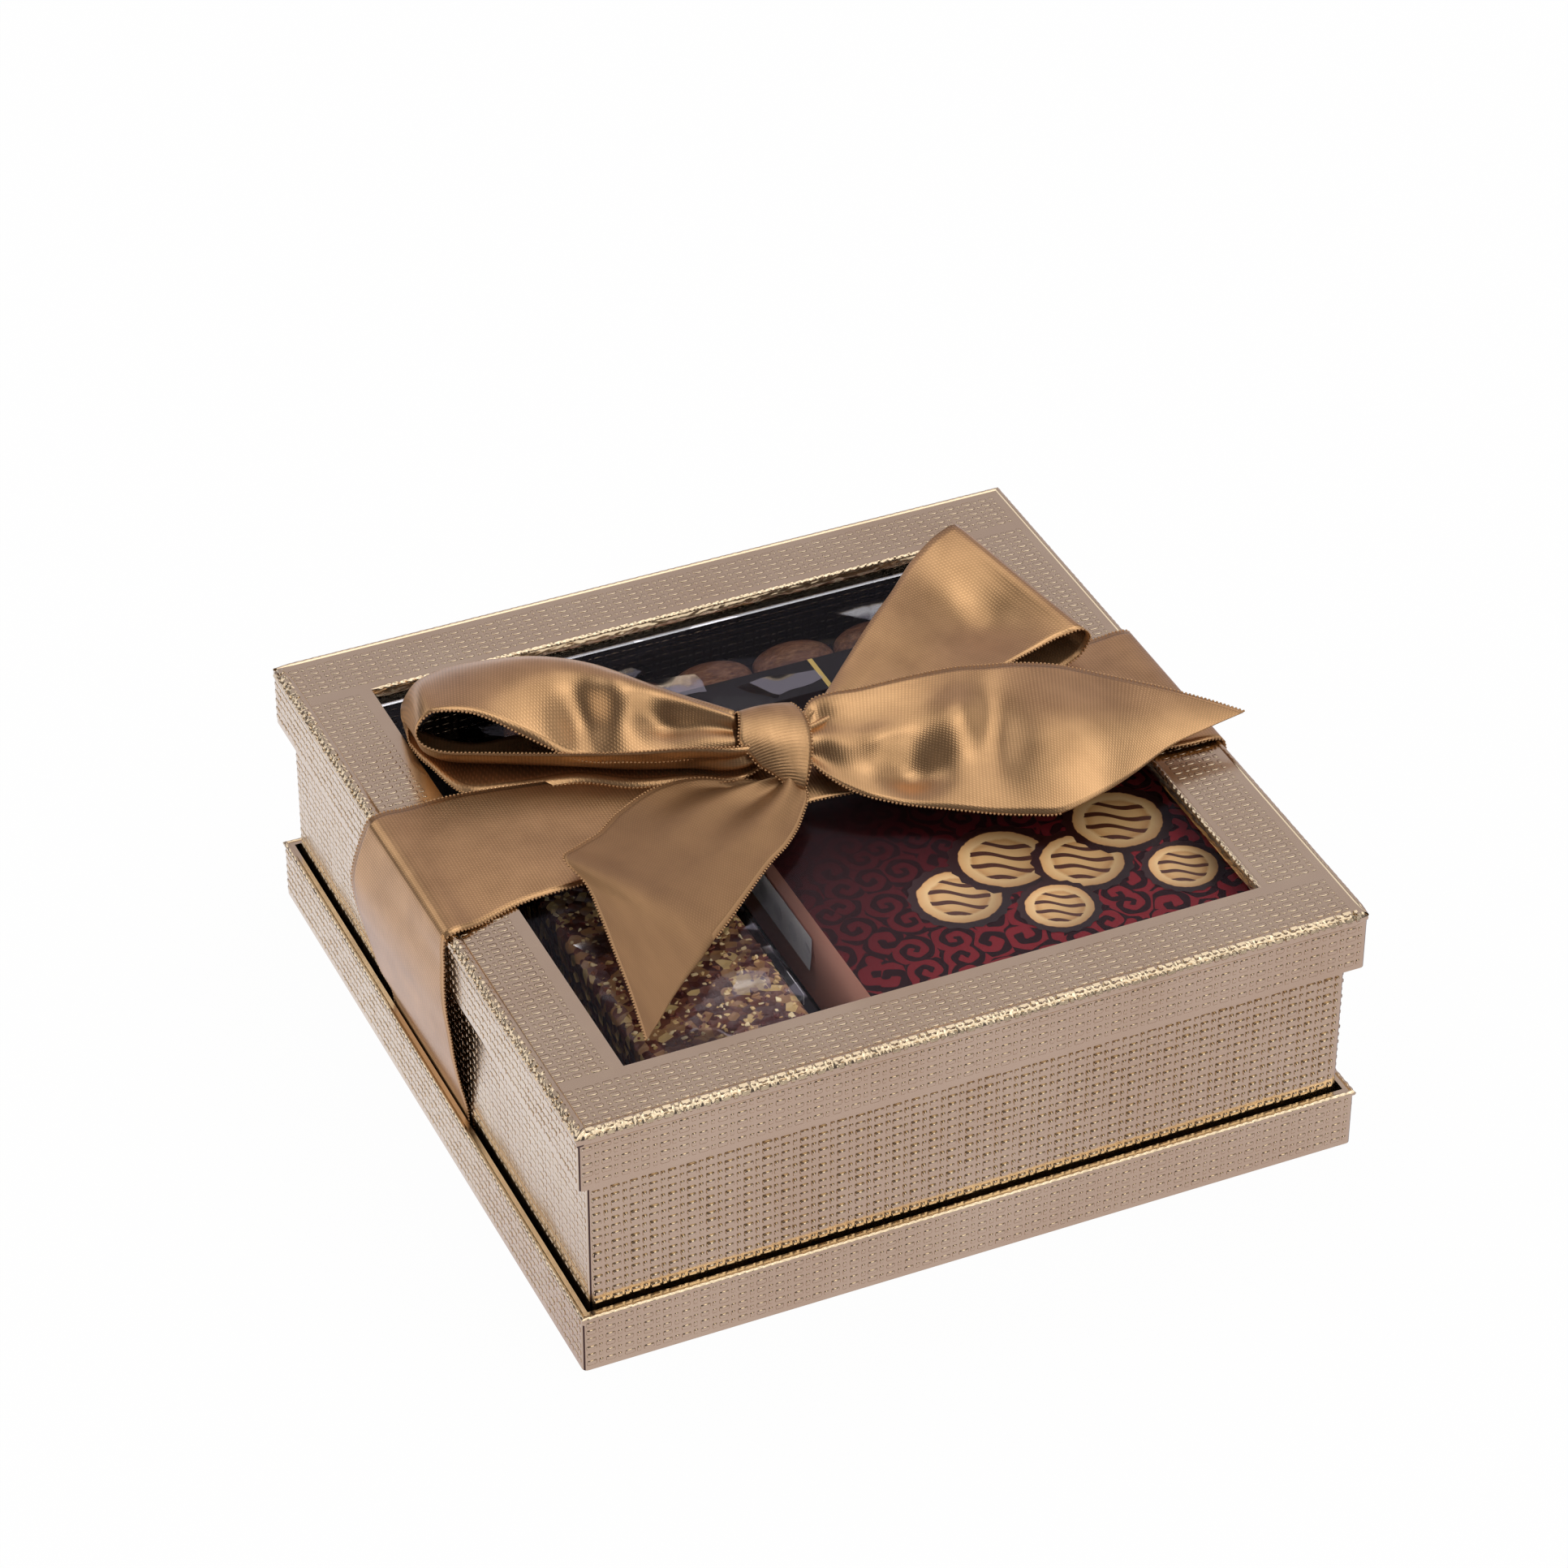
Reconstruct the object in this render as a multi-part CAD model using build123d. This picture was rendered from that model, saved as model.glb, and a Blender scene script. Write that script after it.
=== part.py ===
"""Windowed gift box of treats with a satin ribbon bow.

A set-up box of greyboard wrapped in foil paper: a lid with a clear window lifts off an inner box,
which is glued into a shallow base tray. The origin is the middle of the underside, +Z is up, +X runs
along the ribbon to the right, and -Y is the front. Lengths are in millimetres, angles in degrees.
"""
import os
from math import cos, radians, sin

from build123d import *

# Outside of the closed box
lid_length = 200.0
lid_width = 198.0
closed_height = 70.2
skirt_depth = 16.0
tray_depth = 16.0
edge_round = 1.2

# Build-up of every wall: greyboard, a glue line on each face, and foil paper
board = 1.5
foil_paper = 0.2
glue_line = 0.1
fit_gap = 1.17
lid_seat_gap = 0.3
turn_in_depth = 12.0
tray_turn_under = 15.0
underside_inset = 3.0
tape_reach = 14.0
tape_end_gap = 2.0

# Window in the lid, its film and the card frame behind it
window_border = 19.0
film_thickness = 0.3
film_overlap = 13.0
liner_card = 0.4
liner_setback = 2.0
liner_side_gap = 0.4

# Folded card platform that carries the treats
platform_card = 1.0
treat_headroom = 5.7
platform_side_gap = 0.5
cut_overrun = 1.0

# Carton of rolled wafers, at the front right
bar_lane = 79.46
carton_pack_gap = 20.46
carton_height = 24.0
carton_board = 0.5
carton_wall_gap = 0.8
flap_board = 0.5
bag_film = 0.2
bag_side_gap = 0.4
bag_end_gap = 3.0
roll_diameter = 10.6
roll_bore = 8.0
roll_gap = 0.35
roll_end_gap = 1.5
roll_layers = 2

# Bar of pressed fruit and nuts in clear film, at the left
bar_pack_gap = 2.76
bar_width = 42.0
bar_height = 20.0
bar_round = 2.5
bar_side_gap = 24.63
bar_front_gap = 4.5
wrapper_film = 0.2
wrapper_play = 0.8
wrapper_fin_height = 16.0
label_length = 34.0
label_width = 3.0
label_paper = 0.2
label_setback = 30.0

# Pack of almonds with a black card, at the back
pack_side_room = 36.46
pack_width = 35.0
pack_height = 23.0
pack_wall_gap = 0.8
pack_back_gap = 12.0
tray_film = 0.4
tray_play = 0.6
nut_tray_height = 12.0
almond_length = 22.0
almond_width = 13.5
almond_height = 9.0
almond_gap = 0.6
almond_lift = 0.3
almond_layers = 2
nut_card_width = 13.5
nut_card_board = 0.5
nut_card_drop = 8.0

# Satin ribbon and its bow
ribbon_width = 50.0
ribbon_thickness = 0.4
ribbon_clearance = 0.3
bow_reach = 98.5
bow_height = 20.0
knot_length = 16.0
knot_width = 25.0
knot_height = 12.6
knot_round = 4.5
knot_lift = 3.2
knot_place_x = -4.9
knot_place_y = 3.0
left_bulge = 4.1
right_bulge = 2.6
left_drop_place_y = 3.5
right_drop_place_y = 0.5
rim_pass = 3.6
rim_clear = 1.0
tuck_depth = 8.0

# Build-up worked out from the sizes above
wall = board + 2 * (foil_paper + glue_line)
skin = foil_paper + glue_line
inner_length = lid_length - 2 * (wall + fit_gap)
inner_width = lid_width - 2 * (wall + fit_gap)
inside_length = inner_length - 2 * wall
inside_width = inner_width - 2 * wall
tray_wrap_low = foil_paper + glue_line
tray_board_low = tray_wrap_low + skin
tray_floor_top = tray_board_low + board
inner_low = tray_floor_top + glue_line
inner_board_low = inner_low + skin
inner_floor_top = inner_board_low + board
floor_paper_top = inner_floor_top + skin
plate_low = closed_height - wall
film_low = plate_low - glue_line - film_thickness
liner_low = film_low - glue_line - liner_card
rim_top = liner_low - lid_seat_gap
skirt_low = closed_height - skirt_depth
platform_top = film_low - treat_headroom - carton_height
window_length = lid_length - 2 * window_border
window_width = lid_width - 2 * window_border
pack_length = inside_length - pack_wall_gap - pack_side_room
pack_room = pack_back_gap + pack_width
carton_length = inside_length - carton_wall_gap - bar_lane
carton_width = inside_width - carton_wall_gap - carton_pack_gap - pack_room
bar_length = inside_width - bar_front_gap - bar_pack_gap - pack_room
bar_x = -inside_length / 2 + bar_side_gap + bar_width / 2


def block(length, width, low, high, corner=0.0, top_round=0.0):
    """Upright block on the box's axis between two heights, with rounded corners and top edges."""
    outline = RectangleRounded(length, width, corner) if corner > 0 else Rectangle(length, width)
    solid = Pos(0, 0, low) * extrude(outline, high - low)
    if top_round > 0:
        solid = fillet(solid.faces().sort_by(Axis.Z)[-1].edges(), top_round)
    return solid


def sleeve(length, width, low, high, thickness, corner=0.0):
    """Four upright walls of one thickness, inside the given outline."""
    inner_corner = max(corner - thickness, 0.0)
    core = block(length - 2 * thickness, width - 2 * thickness, low, high, inner_corner)
    return block(length, width, low, high, corner) - core


def at_box(length, width, height, x, y, low):
    """Plain box standing at a height, centred on x and y."""
    return Pos(x, y, low) * Box(length, width, height, align=(Align.CENTER, Align.CENTER, Align.MIN))


def corner_tapes(length, width, low, high, corner):
    """Four stay tapes, each folded round one corner in the glue line between board and foil."""
    ring = sleeve(length, width, low, high, glue_line, corner)
    keep = None
    for side_x in (-1, 1):
        for side_y in (-1, 1):
            window = at_box(
                2 * tape_reach, 2 * tape_reach, high - low, side_x * length / 2, side_y * width / 2, low
            )
            keep = window if keep is None else keep + window
    return ring & keep


def tray_underside_paper():
    """Lining paper on the underside, the face that the box stands on."""
    inset = 2 * underside_inset
    return block(lid_length - inset, lid_width - inset, 0, foil_paper, edge_round)


def tray_board():
    """Greyboard floor and four low walls."""
    outer = block(
        lid_length - 2 * skin, lid_width - 2 * skin, tray_board_low, tray_depth - skin, edge_round - skin
    )
    inset = 2 * (skin + board)
    return outer - block(lid_length - inset, lid_width - inset, tray_floor_top, tray_depth)


def tray_wrap():
    """Foil paper up the outside, over the rim, down to the floor inside, and turned under."""
    outside = sleeve(lid_length, lid_width, tray_wrap_low, tray_depth, foil_paper, edge_round)
    rim = sleeve(lid_length, lid_width, tray_depth - foil_paper, tray_depth, wall, edge_round)
    lining_cut = 2 * (wall - foil_paper)
    lining = sleeve(lid_length - lining_cut, lid_width - lining_cut, tray_floor_top, tray_depth, foil_paper)
    under = sleeve(
        lid_length, lid_width, tray_wrap_low, tray_wrap_low + foil_paper, tray_turn_under, edge_round
    )
    return outside + rim + lining + under


def tray_corner_tapes():
    """Stay tapes on the tray's corners."""
    return corner_tapes(
        lid_length - 2 * foil_paper,
        lid_width - 2 * foil_paper,
        tray_board_low + tape_end_gap,
        tray_depth - skin - tape_end_gap,
        edge_round - foil_paper,
    )


def inner_box_board():
    """Greyboard floor and four walls of the inner box."""
    outer = block(
        inner_length - 2 * skin, inner_width - 2 * skin, inner_board_low, rim_top - skin, edge_round - skin
    )
    inset = 2 * (skin + board)
    return outer - block(inner_length - inset, inner_width - inset, inner_floor_top, rim_top)


def inner_box_wrap():
    """Foil paper up the outside, over the rim, down to the floor inside, and turned under."""
    outside = sleeve(inner_length, inner_width, inner_low, rim_top, foil_paper, edge_round)
    rim = sleeve(inner_length, inner_width, rim_top - foil_paper, rim_top, wall, edge_round)
    lining = sleeve(
        inside_length + 2 * foil_paper, inside_width + 2 * foil_paper, inner_floor_top, rim_top, foil_paper
    )
    under = sleeve(inner_length, inner_width, inner_low, inner_low + foil_paper, turn_in_depth, edge_round)
    return outside + rim + lining + under


def inner_box_corner_tapes():
    """Stay tapes on the inner box's corners."""
    return corner_tapes(
        inner_length - 2 * foil_paper,
        inner_width - 2 * foil_paper,
        inner_board_low + tape_end_gap,
        rim_top - skin - tape_end_gap,
        edge_round - foil_paper,
    )


def inner_box_floor_paper():
    """Black paper on the inner floor."""
    return block(inside_length, inside_width, inner_floor_top + glue_line, floor_paper_top)


def raised_platform():
    """Black card folded down at the left and right, standing on the inner floor."""
    length = inside_length - 2 * platform_side_gap
    width = inside_width - 2 * platform_side_gap
    outer = block(length, width, floor_paper_top, platform_top)
    hollow = block(
        length - 2 * platform_card, width + 2 * cut_overrun, floor_paper_top, platform_top - platform_card
    )
    return outer - hollow


carton_x = inside_length / 2 - carton_wall_gap - carton_length / 2
carton_y = -inside_width / 2 + carton_wall_gap + carton_width / 2


def wafer_carton():
    """Folding carton: a board tube, open at the front and back ends."""
    outer = at_box(carton_length, carton_width, carton_height, carton_x, carton_y, platform_top)
    inner = at_box(
        carton_length - 2 * carton_board,
        carton_width,
        carton_height - 2 * carton_board,
        carton_x,
        carton_y,
        platform_top + carton_board,
    )
    return outer - inner


def wafer_carton_end_flaps():
    """The two end flaps, tucked inside the tube."""
    flaps = []
    for end in (-1, 1):
        flaps.append(
            at_box(
                carton_length - 2 * carton_board,
                flap_board,
                carton_height - 2 * carton_board,
                carton_x,
                carton_y + end * (carton_width - flap_board) / 2,
                platform_top + carton_board,
            )
        )
    return Compound(children=flaps)


bag_length = carton_length - 2 * (carton_board + bag_side_gap)
bag_width = carton_width - 2 * (flap_board + bag_end_gap)
bag_height = carton_height - 2 * carton_board - bag_side_gap


def wafer_bag():
    """Sealed film bag that fills the carton."""
    low = platform_top + carton_board
    outer = at_box(bag_length, bag_width, bag_height, carton_x, carton_y, low)
    inner = at_box(
        bag_length - 2 * bag_film, bag_width, bag_height - 2 * bag_film, carton_x, carton_y, low + bag_film
    )
    return outer - inner


def wafer_rolls():
    """Rolled wafers in layers, lying from front to back."""
    room = bag_length - 2 * bag_film - roll_gap
    pitch = roll_diameter + roll_gap
    count = max(int(room / pitch), 1)
    length = bag_width - 2 * roll_end_gap
    tube = Cylinder(roll_diameter / 2, length) - Cylinder(roll_bore / 2, length)
    tube = Rot(90, 0, 0) * tube
    rolls = []
    for layer in range(roll_layers):
        height = platform_top + carton_board + bag_film + roll_diameter / 2 + layer * roll_diameter
        for number in range(count):
            x = carton_x + (number - (count - 1) / 2) * pitch
            rolls.append(Pos(x, carton_y, height) * tube)
    return Compound(children=rolls)


bar_y = -inside_width / 2 + bar_front_gap + bar_length / 2


def nut_bar():
    """Pressed bar of fruit and nuts with broken edges."""
    low = platform_top + wrapper_film
    bar = at_box(bar_width, bar_length, bar_height, bar_x, bar_y, low)
    return fillet(bar.edges(), bar_round)


def nut_bar_wrapper():
    """Clear film round the bar, with its crimped ends folded up against the bar's ends."""
    length = bar_width + 2 * (wrapper_play + wrapper_film)
    width = bar_length + 2 * wrapper_play
    height = bar_height + wrapper_play + 2 * wrapper_film
    outer = at_box(length, width, height, bar_x, bar_y, platform_top)
    inner = at_box(
        length - 2 * wrapper_film,
        width,
        height - 2 * wrapper_film,
        bar_x,
        bar_y,
        platform_top + wrapper_film,
    )
    wrapper = outer - inner
    for end in (-1, 1):
        fin_y = bar_y + end * (width - wrapper_film) / 2
        wrapper += at_box(length, wrapper_film, wrapper_fin_height, bar_x, fin_y, platform_top)
    return wrapper


def nut_bar_label():
    """Bare white label strip on the wrapper's right side."""
    x = bar_x + bar_width / 2 + wrapper_play + wrapper_film + label_paper / 2
    y = bar_y - bar_length / 2 + label_setback + label_length / 2
    low = platform_top + bar_height - label_width
    return at_box(label_paper, label_length, label_width, x, y, low)


pack_x = inside_length / 2 - pack_wall_gap - pack_length / 2
pack_y = inside_width / 2 - pack_back_gap - pack_width / 2


def nut_bag():
    """Clear film bag round the almonds, open along its top seam at the two ends."""
    outer = at_box(pack_length, pack_width, pack_height, pack_x, pack_y, platform_top)
    inner = at_box(
        pack_length,
        pack_width - 2 * wrapper_film,
        pack_height - 2 * wrapper_film,
        pack_x,
        pack_y,
        platform_top + wrapper_film,
    )
    return outer - inner


nut_tray_length = pack_length - 2 * tray_play
nut_tray_width = pack_width - 2 * (wrapper_film + tray_play)
nut_tray_low = platform_top + wrapper_film


def nut_tray():
    """Shallow thermoformed tray."""
    outer = at_box(nut_tray_length, nut_tray_width, nut_tray_height, pack_x, pack_y, nut_tray_low)
    inner = at_box(
        nut_tray_length - 2 * tray_film,
        nut_tray_width - 2 * tray_film,
        nut_tray_height,
        pack_x,
        pack_y,
        nut_tray_low + tray_film,
    )
    return outer - inner


def almonds():
    """Loose almonds in layers; each is an ellipsoid."""
    shape = (1, almond_width / almond_length, almond_height / almond_length)
    nut = scale(Sphere(almond_length / 2), by=shape)
    pitch_x = almond_length + almond_gap
    pitch_y = almond_width + almond_gap
    columns = max(int((nut_tray_length - 2 * tray_film - almond_gap) / pitch_x), 1)
    rows = max(int((nut_tray_width - 2 * tray_film - almond_gap) / pitch_y), 1)
    nuts = []
    lowest = nut_tray_low + tray_film + almond_lift + almond_height / 2
    for layer in range(almond_layers):
        height = lowest + layer * (almond_height + almond_lift)
        for row in range(rows):
            for column in range(columns):
                x = pack_x + (column - (columns - 1) / 2) * pitch_x
                y = pack_y + (row - (rows - 1) / 2) * pitch_y
                nuts.append(Pos(x, y, height) * nut)
    return Compound(children=nuts)


def nut_card():
    """Black card over the front of the pack, folded down at its front edge."""
    y = pack_y - pack_width / 2 + wrapper_film + nut_card_width / 2
    low = platform_top + pack_height - wrapper_film - nut_card_board
    top = at_box(nut_tray_length, nut_card_width, nut_card_board, pack_x, y, low)
    front_y = pack_y - pack_width / 2 + wrapper_film + nut_card_board / 2
    front = at_box(nut_tray_length, nut_card_board, nut_card_drop, pack_x, front_y, low - nut_card_drop)
    return top + front


def lid_board():
    """Greyboard window frame with four skirts."""
    outer = block(
        lid_length - 2 * skin,
        lid_width - 2 * skin,
        skirt_low + skin,
        closed_height - skin,
        edge_round - skin,
        edge_round - skin,
    )
    inset = 2 * (skin + board)
    hollow = block(lid_length - inset, lid_width - inset, skirt_low, closed_height - skin - board)
    window = block(window_length + 2 * skin, window_width + 2 * skin, skirt_low, closed_height)
    return outer - hollow - window


def lid_wrap():
    """Foil paper over the lid, round the window's edge and turned in under the skirts."""
    outside = block(lid_length, lid_width, skirt_low, closed_height, edge_round, edge_round)
    inside = block(
        lid_length - 2 * foil_paper,
        lid_width - 2 * foil_paper,
        skirt_low,
        closed_height - foil_paper,
        edge_round - foil_paper,
        edge_round - foil_paper,
    )
    window = block(window_length, window_width, skirt_low, closed_height)
    skirt_lip = sleeve(lid_length, lid_width, skirt_low, skirt_low + foil_paper, wall, edge_round)
    lining_cut = 2 * (wall - foil_paper)
    lining = sleeve(
        lid_length - lining_cut, lid_width - lining_cut, skirt_low, plate_low + foil_paper, foil_paper
    )
    window_edge = sleeve(
        window_length + 2 * foil_paper, window_width + 2 * foil_paper, plate_low, closed_height, foil_paper
    )
    window_under = sleeve(
        window_length + 2 * turn_in_depth,
        window_width + 2 * turn_in_depth,
        plate_low,
        plate_low + foil_paper,
        turn_in_depth,
    )
    return outside - inside - window + skirt_lip + lining + window_edge + window_under


def lid_corner_tapes():
    """Stay tapes on the lid's corners, below the rounded top edge."""
    return corner_tapes(
        lid_length - 2 * foil_paper,
        lid_width - 2 * foil_paper,
        skirt_low + skin + tape_end_gap,
        closed_height - edge_round - tape_end_gap,
        edge_round - foil_paper,
    )


def window_film():
    """Clear film glued under the lid's top."""
    return block(
        window_length + 2 * film_overlap,
        window_width + 2 * film_overlap,
        film_low,
        film_low + film_thickness,
    )


def lid_liner():
    """Card frame that covers the film's glued edge inside the lid."""
    length = lid_length - 2 * (wall + liner_side_gap)
    width = lid_width - 2 * (wall + liner_side_gap)
    frame = block(length, width, liner_low, liner_low + liner_card)
    opening = block(
        window_length + 2 * liner_setback,
        window_width + 2 * liner_setback,
        liner_low,
        liner_low + liner_card,
    )
    return frame - opening


def skinned(sections):
    """Solid between flat sections with as many corners each, its sides in triangles."""
    faces = [Face(Wire.make_polygon(corners, close=True)) for corners in (sections[0], sections[-1])]
    count = len(sections[0])
    for near, far in zip(sections, sections[1:]):
        for this in range(count):
            following = (this + 1) % count
            for triangle in (
                (near[this], near[following], far[following]),
                (near[this], far[following], far[this]),
            ):
                faces.append(Face(Wire.make_polygon(triangle, close=True)))
    return Solid(Shell(faces))


def strip(points, across, widths, crowns):
    """Ribbon of the named thickness through bent sections.

    points are the middles of its sections, across their directions from one edge to the other,
    widths their breadths, and crowns how far the middle stands out from the two edges.
    """
    sections = []
    last = len(points) - 1
    for number, point in enumerate(points):
        along = points[min(number + 1, last)] - points[max(number - 1, 0)]
        normal = along.cross(across[number]).normalized()
        side = across[number] * (widths[number] / 2)
        rise = normal * crowns[number]
        face = normal * (ribbon_thickness / 2)
        inner, outer = [point - side - face], [point - side + face]
        if any(crowns):
            inner.append(point + rise - face)
            outer.append(point + rise + face)
        inner.append(point + side - face)
        outer.append(point + side + face)
        sections.append(inner + outer[::-1])
    return skinned(sections)


def bow_strip(root_x, root_y, table_shares):
    """Piece of the bow from its root at the knot, by rows of shares and angles.

    Each row holds the place along X and Y as shares of the bow's reach, the height as a share of the
    bow's height, the heading and tilt of the section, its breadth as a share of the ribbon's width,
    and its crown as a share of the bow's height.
    """
    points, across, widths, crowns = [], [], [], []
    for x_share, y_share, height_share, heading, tilt, width_share, crown_share in table_shares:
        points.append(
            Vector(
                root_x + x_share * bow_reach,
                root_y + y_share * bow_reach,
                closed_height + height_share * bow_height,
            )
        )
        flat = cos(radians(tilt))
        across.append(
            Vector(flat * cos(radians(heading)), flat * sin(radians(heading)), sin(radians(tilt)))
        )
        widths.append(width_share * ribbon_width)
        crowns.append(crown_share * bow_height)
    return strip(points, across, widths, crowns)


knot_left = knot_place_x - knot_length / 2 - ribbon_clearance
knot_right = knot_place_x + knot_length / 2 + ribbon_clearance
loop_root_y = knot_place_y + knot_width / 5
tail_root_y = knot_place_y - knot_width / 4

left_loop_shares = [
    (0.000, 0.000, 0.25, 90, 0, 0.26, 0.03),
    (-0.080, 0.100, 0.32, 66, 0, 0.44, 0.10),
    (-0.180, 0.220, 0.33, 55, 0, 0.60, 0.17),
    (-0.300, 0.340, 0.28, 45, 0, 0.72, 0.15),
    (-0.420, 0.425, 0.25, 38, 0, 0.84, 0.10),
    (-0.500, 0.475, 0.28, 34, 0, 0.88, 0.05),
    (-0.545, 0.505, 0.40, 34, 0, 0.90, 0.05),
    (-0.555, 0.510, 0.55, 34, 0, 0.90, 0.05),
    (-0.530, 0.495, 0.70, 34, 0, 0.90, 0.05),
    (-0.440, 0.435, 0.78, 38, 0, 0.86, 0.12),
    (-0.320, 0.350, 0.76, 44, 0, 0.76, 0.20),
    (-0.200, 0.235, 0.70, 54, 0, 0.62, 0.22),
    (-0.090, 0.110, 0.62, 66, 0, 0.44, 0.15),
    (0.000, 0.005, 0.55, 90, 0, 0.26, 0.05),
]
right_loop_shares = [
    (0.000, 0.000, 0.20, 90, 0, 0.22, -0.02),
    (0.150, 0.065, 0.22, 106, 5, 0.46, -0.03),
    (0.330, 0.150, 0.24, 107, 5, 0.70, -0.03),
    (0.520, 0.235, 0.27, 106, 6, 0.90, -0.03),
    (0.690, 0.305, 0.32, 105, 6, 0.98, -0.02),
    (0.760, 0.330, 0.42, 104, 6, 1.00, -0.02),
    (0.785, 0.340, 0.57, 104, 7, 1.00, -0.02),
    (0.765, 0.332, 0.72, 104, 8, 1.00, -0.02),
    (0.690, 0.305, 0.73, 105, 8, 0.98, -0.04),
    (0.520, 0.235, 0.66, 106, 9, 0.90, -0.05),
    (0.330, 0.150, 0.60, 107, 9, 0.70, -0.05),
    (0.150, 0.065, 0.50, 106, 9, 0.46, -0.04),
    (0.000, 0.000, 0.40, 90, 4, 0.22, -0.02),
]
right_tail_shares = [
    (0.000, 0.000, 0.33, 90, 32, 0.20, 0.02),
    (0.110, 0.010, 0.37, 93, 24, 0.56, 0.06),
    (0.240, -0.025, 0.41, 93, 15, 0.84, 0.10),
    (0.370, -0.060, 0.42, 93, 14, 0.94, 0.12),
    (0.510, -0.095, 0.40, 93, 13, 1.00, 0.12),
    (0.648, -0.086, 0.38, 93, 10, 0.84, 0.10),
    (0.792, -0.108, 0.40, 100, 7, 0.62, 0.06),
    (0.935, -0.154, 0.40, 101, 7, 0.30, 0.02),
    (1.035, -0.230, 0.40, 101, 7, 0.03, 0.00),
]
front_tail_shares = [
    (0.000, 0.000, 0.09, -41, 0, 0.32, 0.01),
    (-0.069, 0.002, 0.13, -56, 0, 0.52, 0.03),
    (-0.151, -0.014, 0.15, -60, 0, 0.75, 0.05),
    (-0.257, -0.088, 0.14, -59, -1, 0.86, 0.06),
    (-0.358, -0.160, 0.15, -63, -3, 0.90, 0.06),
    (-0.452, -0.230, 0.17, -67, -5, 0.96, 0.03),
    (-0.533, -0.309, 0.20, -69, -7, 0.90, 0.00),
    (-0.573, -0.450, 0.12, -76, -5, 0.54, 0.01),
    (-0.612, -0.590, 0.08, -79, -2, 0.25, 0.01),
    (-0.650, -0.700, 0.07, -79, 0, 0.03, 0.00),
]


def bow_loop_left():
    """Loop that lies towards the back left, open at its front."""
    return bow_strip(knot_left, loop_root_y, left_loop_shares)


def bow_loop_right():
    """Loop that lies towards the back right, under the right tail's upper edge."""
    return bow_strip(knot_right, loop_root_y, right_loop_shares)


def bow_tail_right():
    """Tail that runs to the right, cut at a slant, its tip past the lid's edge."""
    return bow_strip(knot_right, tail_root_y, right_tail_shares)


def bow_tail_front():
    """Tail that runs to the front left from under the knot, cut at a slant."""
    return bow_strip(knot_place_x - knot_length / 5, tail_root_y, front_tail_shares)


def bow_knot():
    """Turn of ribbon that gathers the bow; its outer shape."""
    knot = at_box(
        knot_length, knot_width, knot_height, knot_place_x, knot_place_y, closed_height + knot_lift
    )
    return fillet(knot.edges(), knot_round)


# Places along the lid as shares of half its length, middles and breadths as shares of the ribbon's width
band_shares = [
    (-0.82, 0.12, 0.90),
    (-0.60, 0.11, 0.81),
    (-0.40, 0.11, 0.70),
    (-0.20, 0.08, 0.52),
    (-0.05, 0.06, 0.40),
    (0.10, 0.05, 0.44),
    (0.30, 0.04, 0.60),
    (0.55, 0.03, 0.78),
    (0.80, 0.02, 0.94),
]


def ribbon_band():
    """Ribbon across the lid, gathered where it passes under the knot."""
    height = closed_height + ribbon_clearance + ribbon_thickness / 2
    end = lid_length / 2 - edge_round
    points = [Vector(-end, left_drop_place_y, height)]
    widths = [ribbon_width]
    for place_share, middle_share, width_share in band_shares:
        points.append(Vector(place_share * lid_length / 2, middle_share * ribbon_width, height))
        widths.append(width_share * ribbon_width)
    points.append(Vector(end, right_drop_place_y, height))
    widths.append(ribbon_width)
    count = len(points)
    return strip(points, [Vector(0, 1, 0)] * count, widths, [0.0] * count)


# Rows of a drop below its turn over the lid's edge: the bulge as a share of its most, the height as a
# share of the way from the tray's rim to the lid's top, and the section's turn as a share of its most
drop_shares = [
    (0.58, 0.96, 0.20),
    (0.78, 0.88, 0.60),
    (1.00, 0.74, 1.00),
    (0.93, 0.60, 0.90),
    (0.66, 0.45, 0.75),
    (0.30, 0.30, 0.55),
    (-0.07, 0.18, 0.40),
]
left_turn = 4.7
right_turn = 0.0


def ribbon_drop(side, place_y, bulge, turn):
    """Ribbon down one side, its end tucked between the inner box and the tray's wall."""
    over = ribbon_clearance + ribbon_thickness / 2
    face = lid_length / 2
    slot = face - wall - fit_gap / 2
    fall = closed_height - tray_depth
    rows = [(face - edge_round, closed_height + over, 0.0)]
    rows += [(face - edge_round / 2, closed_height + over, 0.0), (face + over, closed_height - over, 0.0)]
    for bulge_share, height_share, turn_share in drop_shares:
        rows.append((face + bulge_share * bulge, tray_depth + height_share * fall, turn_share * turn))
    pass_x = (slot + face) / 2
    rows += [(pass_x, tray_depth + rim_pass, 0.0), (slot, tray_depth + rim_clear, 0.0)]
    rows += [(slot, tray_depth - tuck_depth, 0.0)]
    points = [Vector(side * x, place_y, z) for x, z in [row[:2] for row in rows]]
    across = [Vector(side * sin(radians(row[2])), cos(radians(row[2])), 0) for row in rows]
    count = len(rows)
    return strip(points, across, [ribbon_width] * count, [0.0] * count)


def ribbon_drop_left():
    """Drop on the left side, standing off the box most at its back edge."""
    return ribbon_drop(-1, left_drop_place_y, left_bulge, left_turn)


def ribbon_drop_right():
    """Drop on the right side."""
    return ribbon_drop(1, right_drop_place_y, right_bulge, right_turn)


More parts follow.
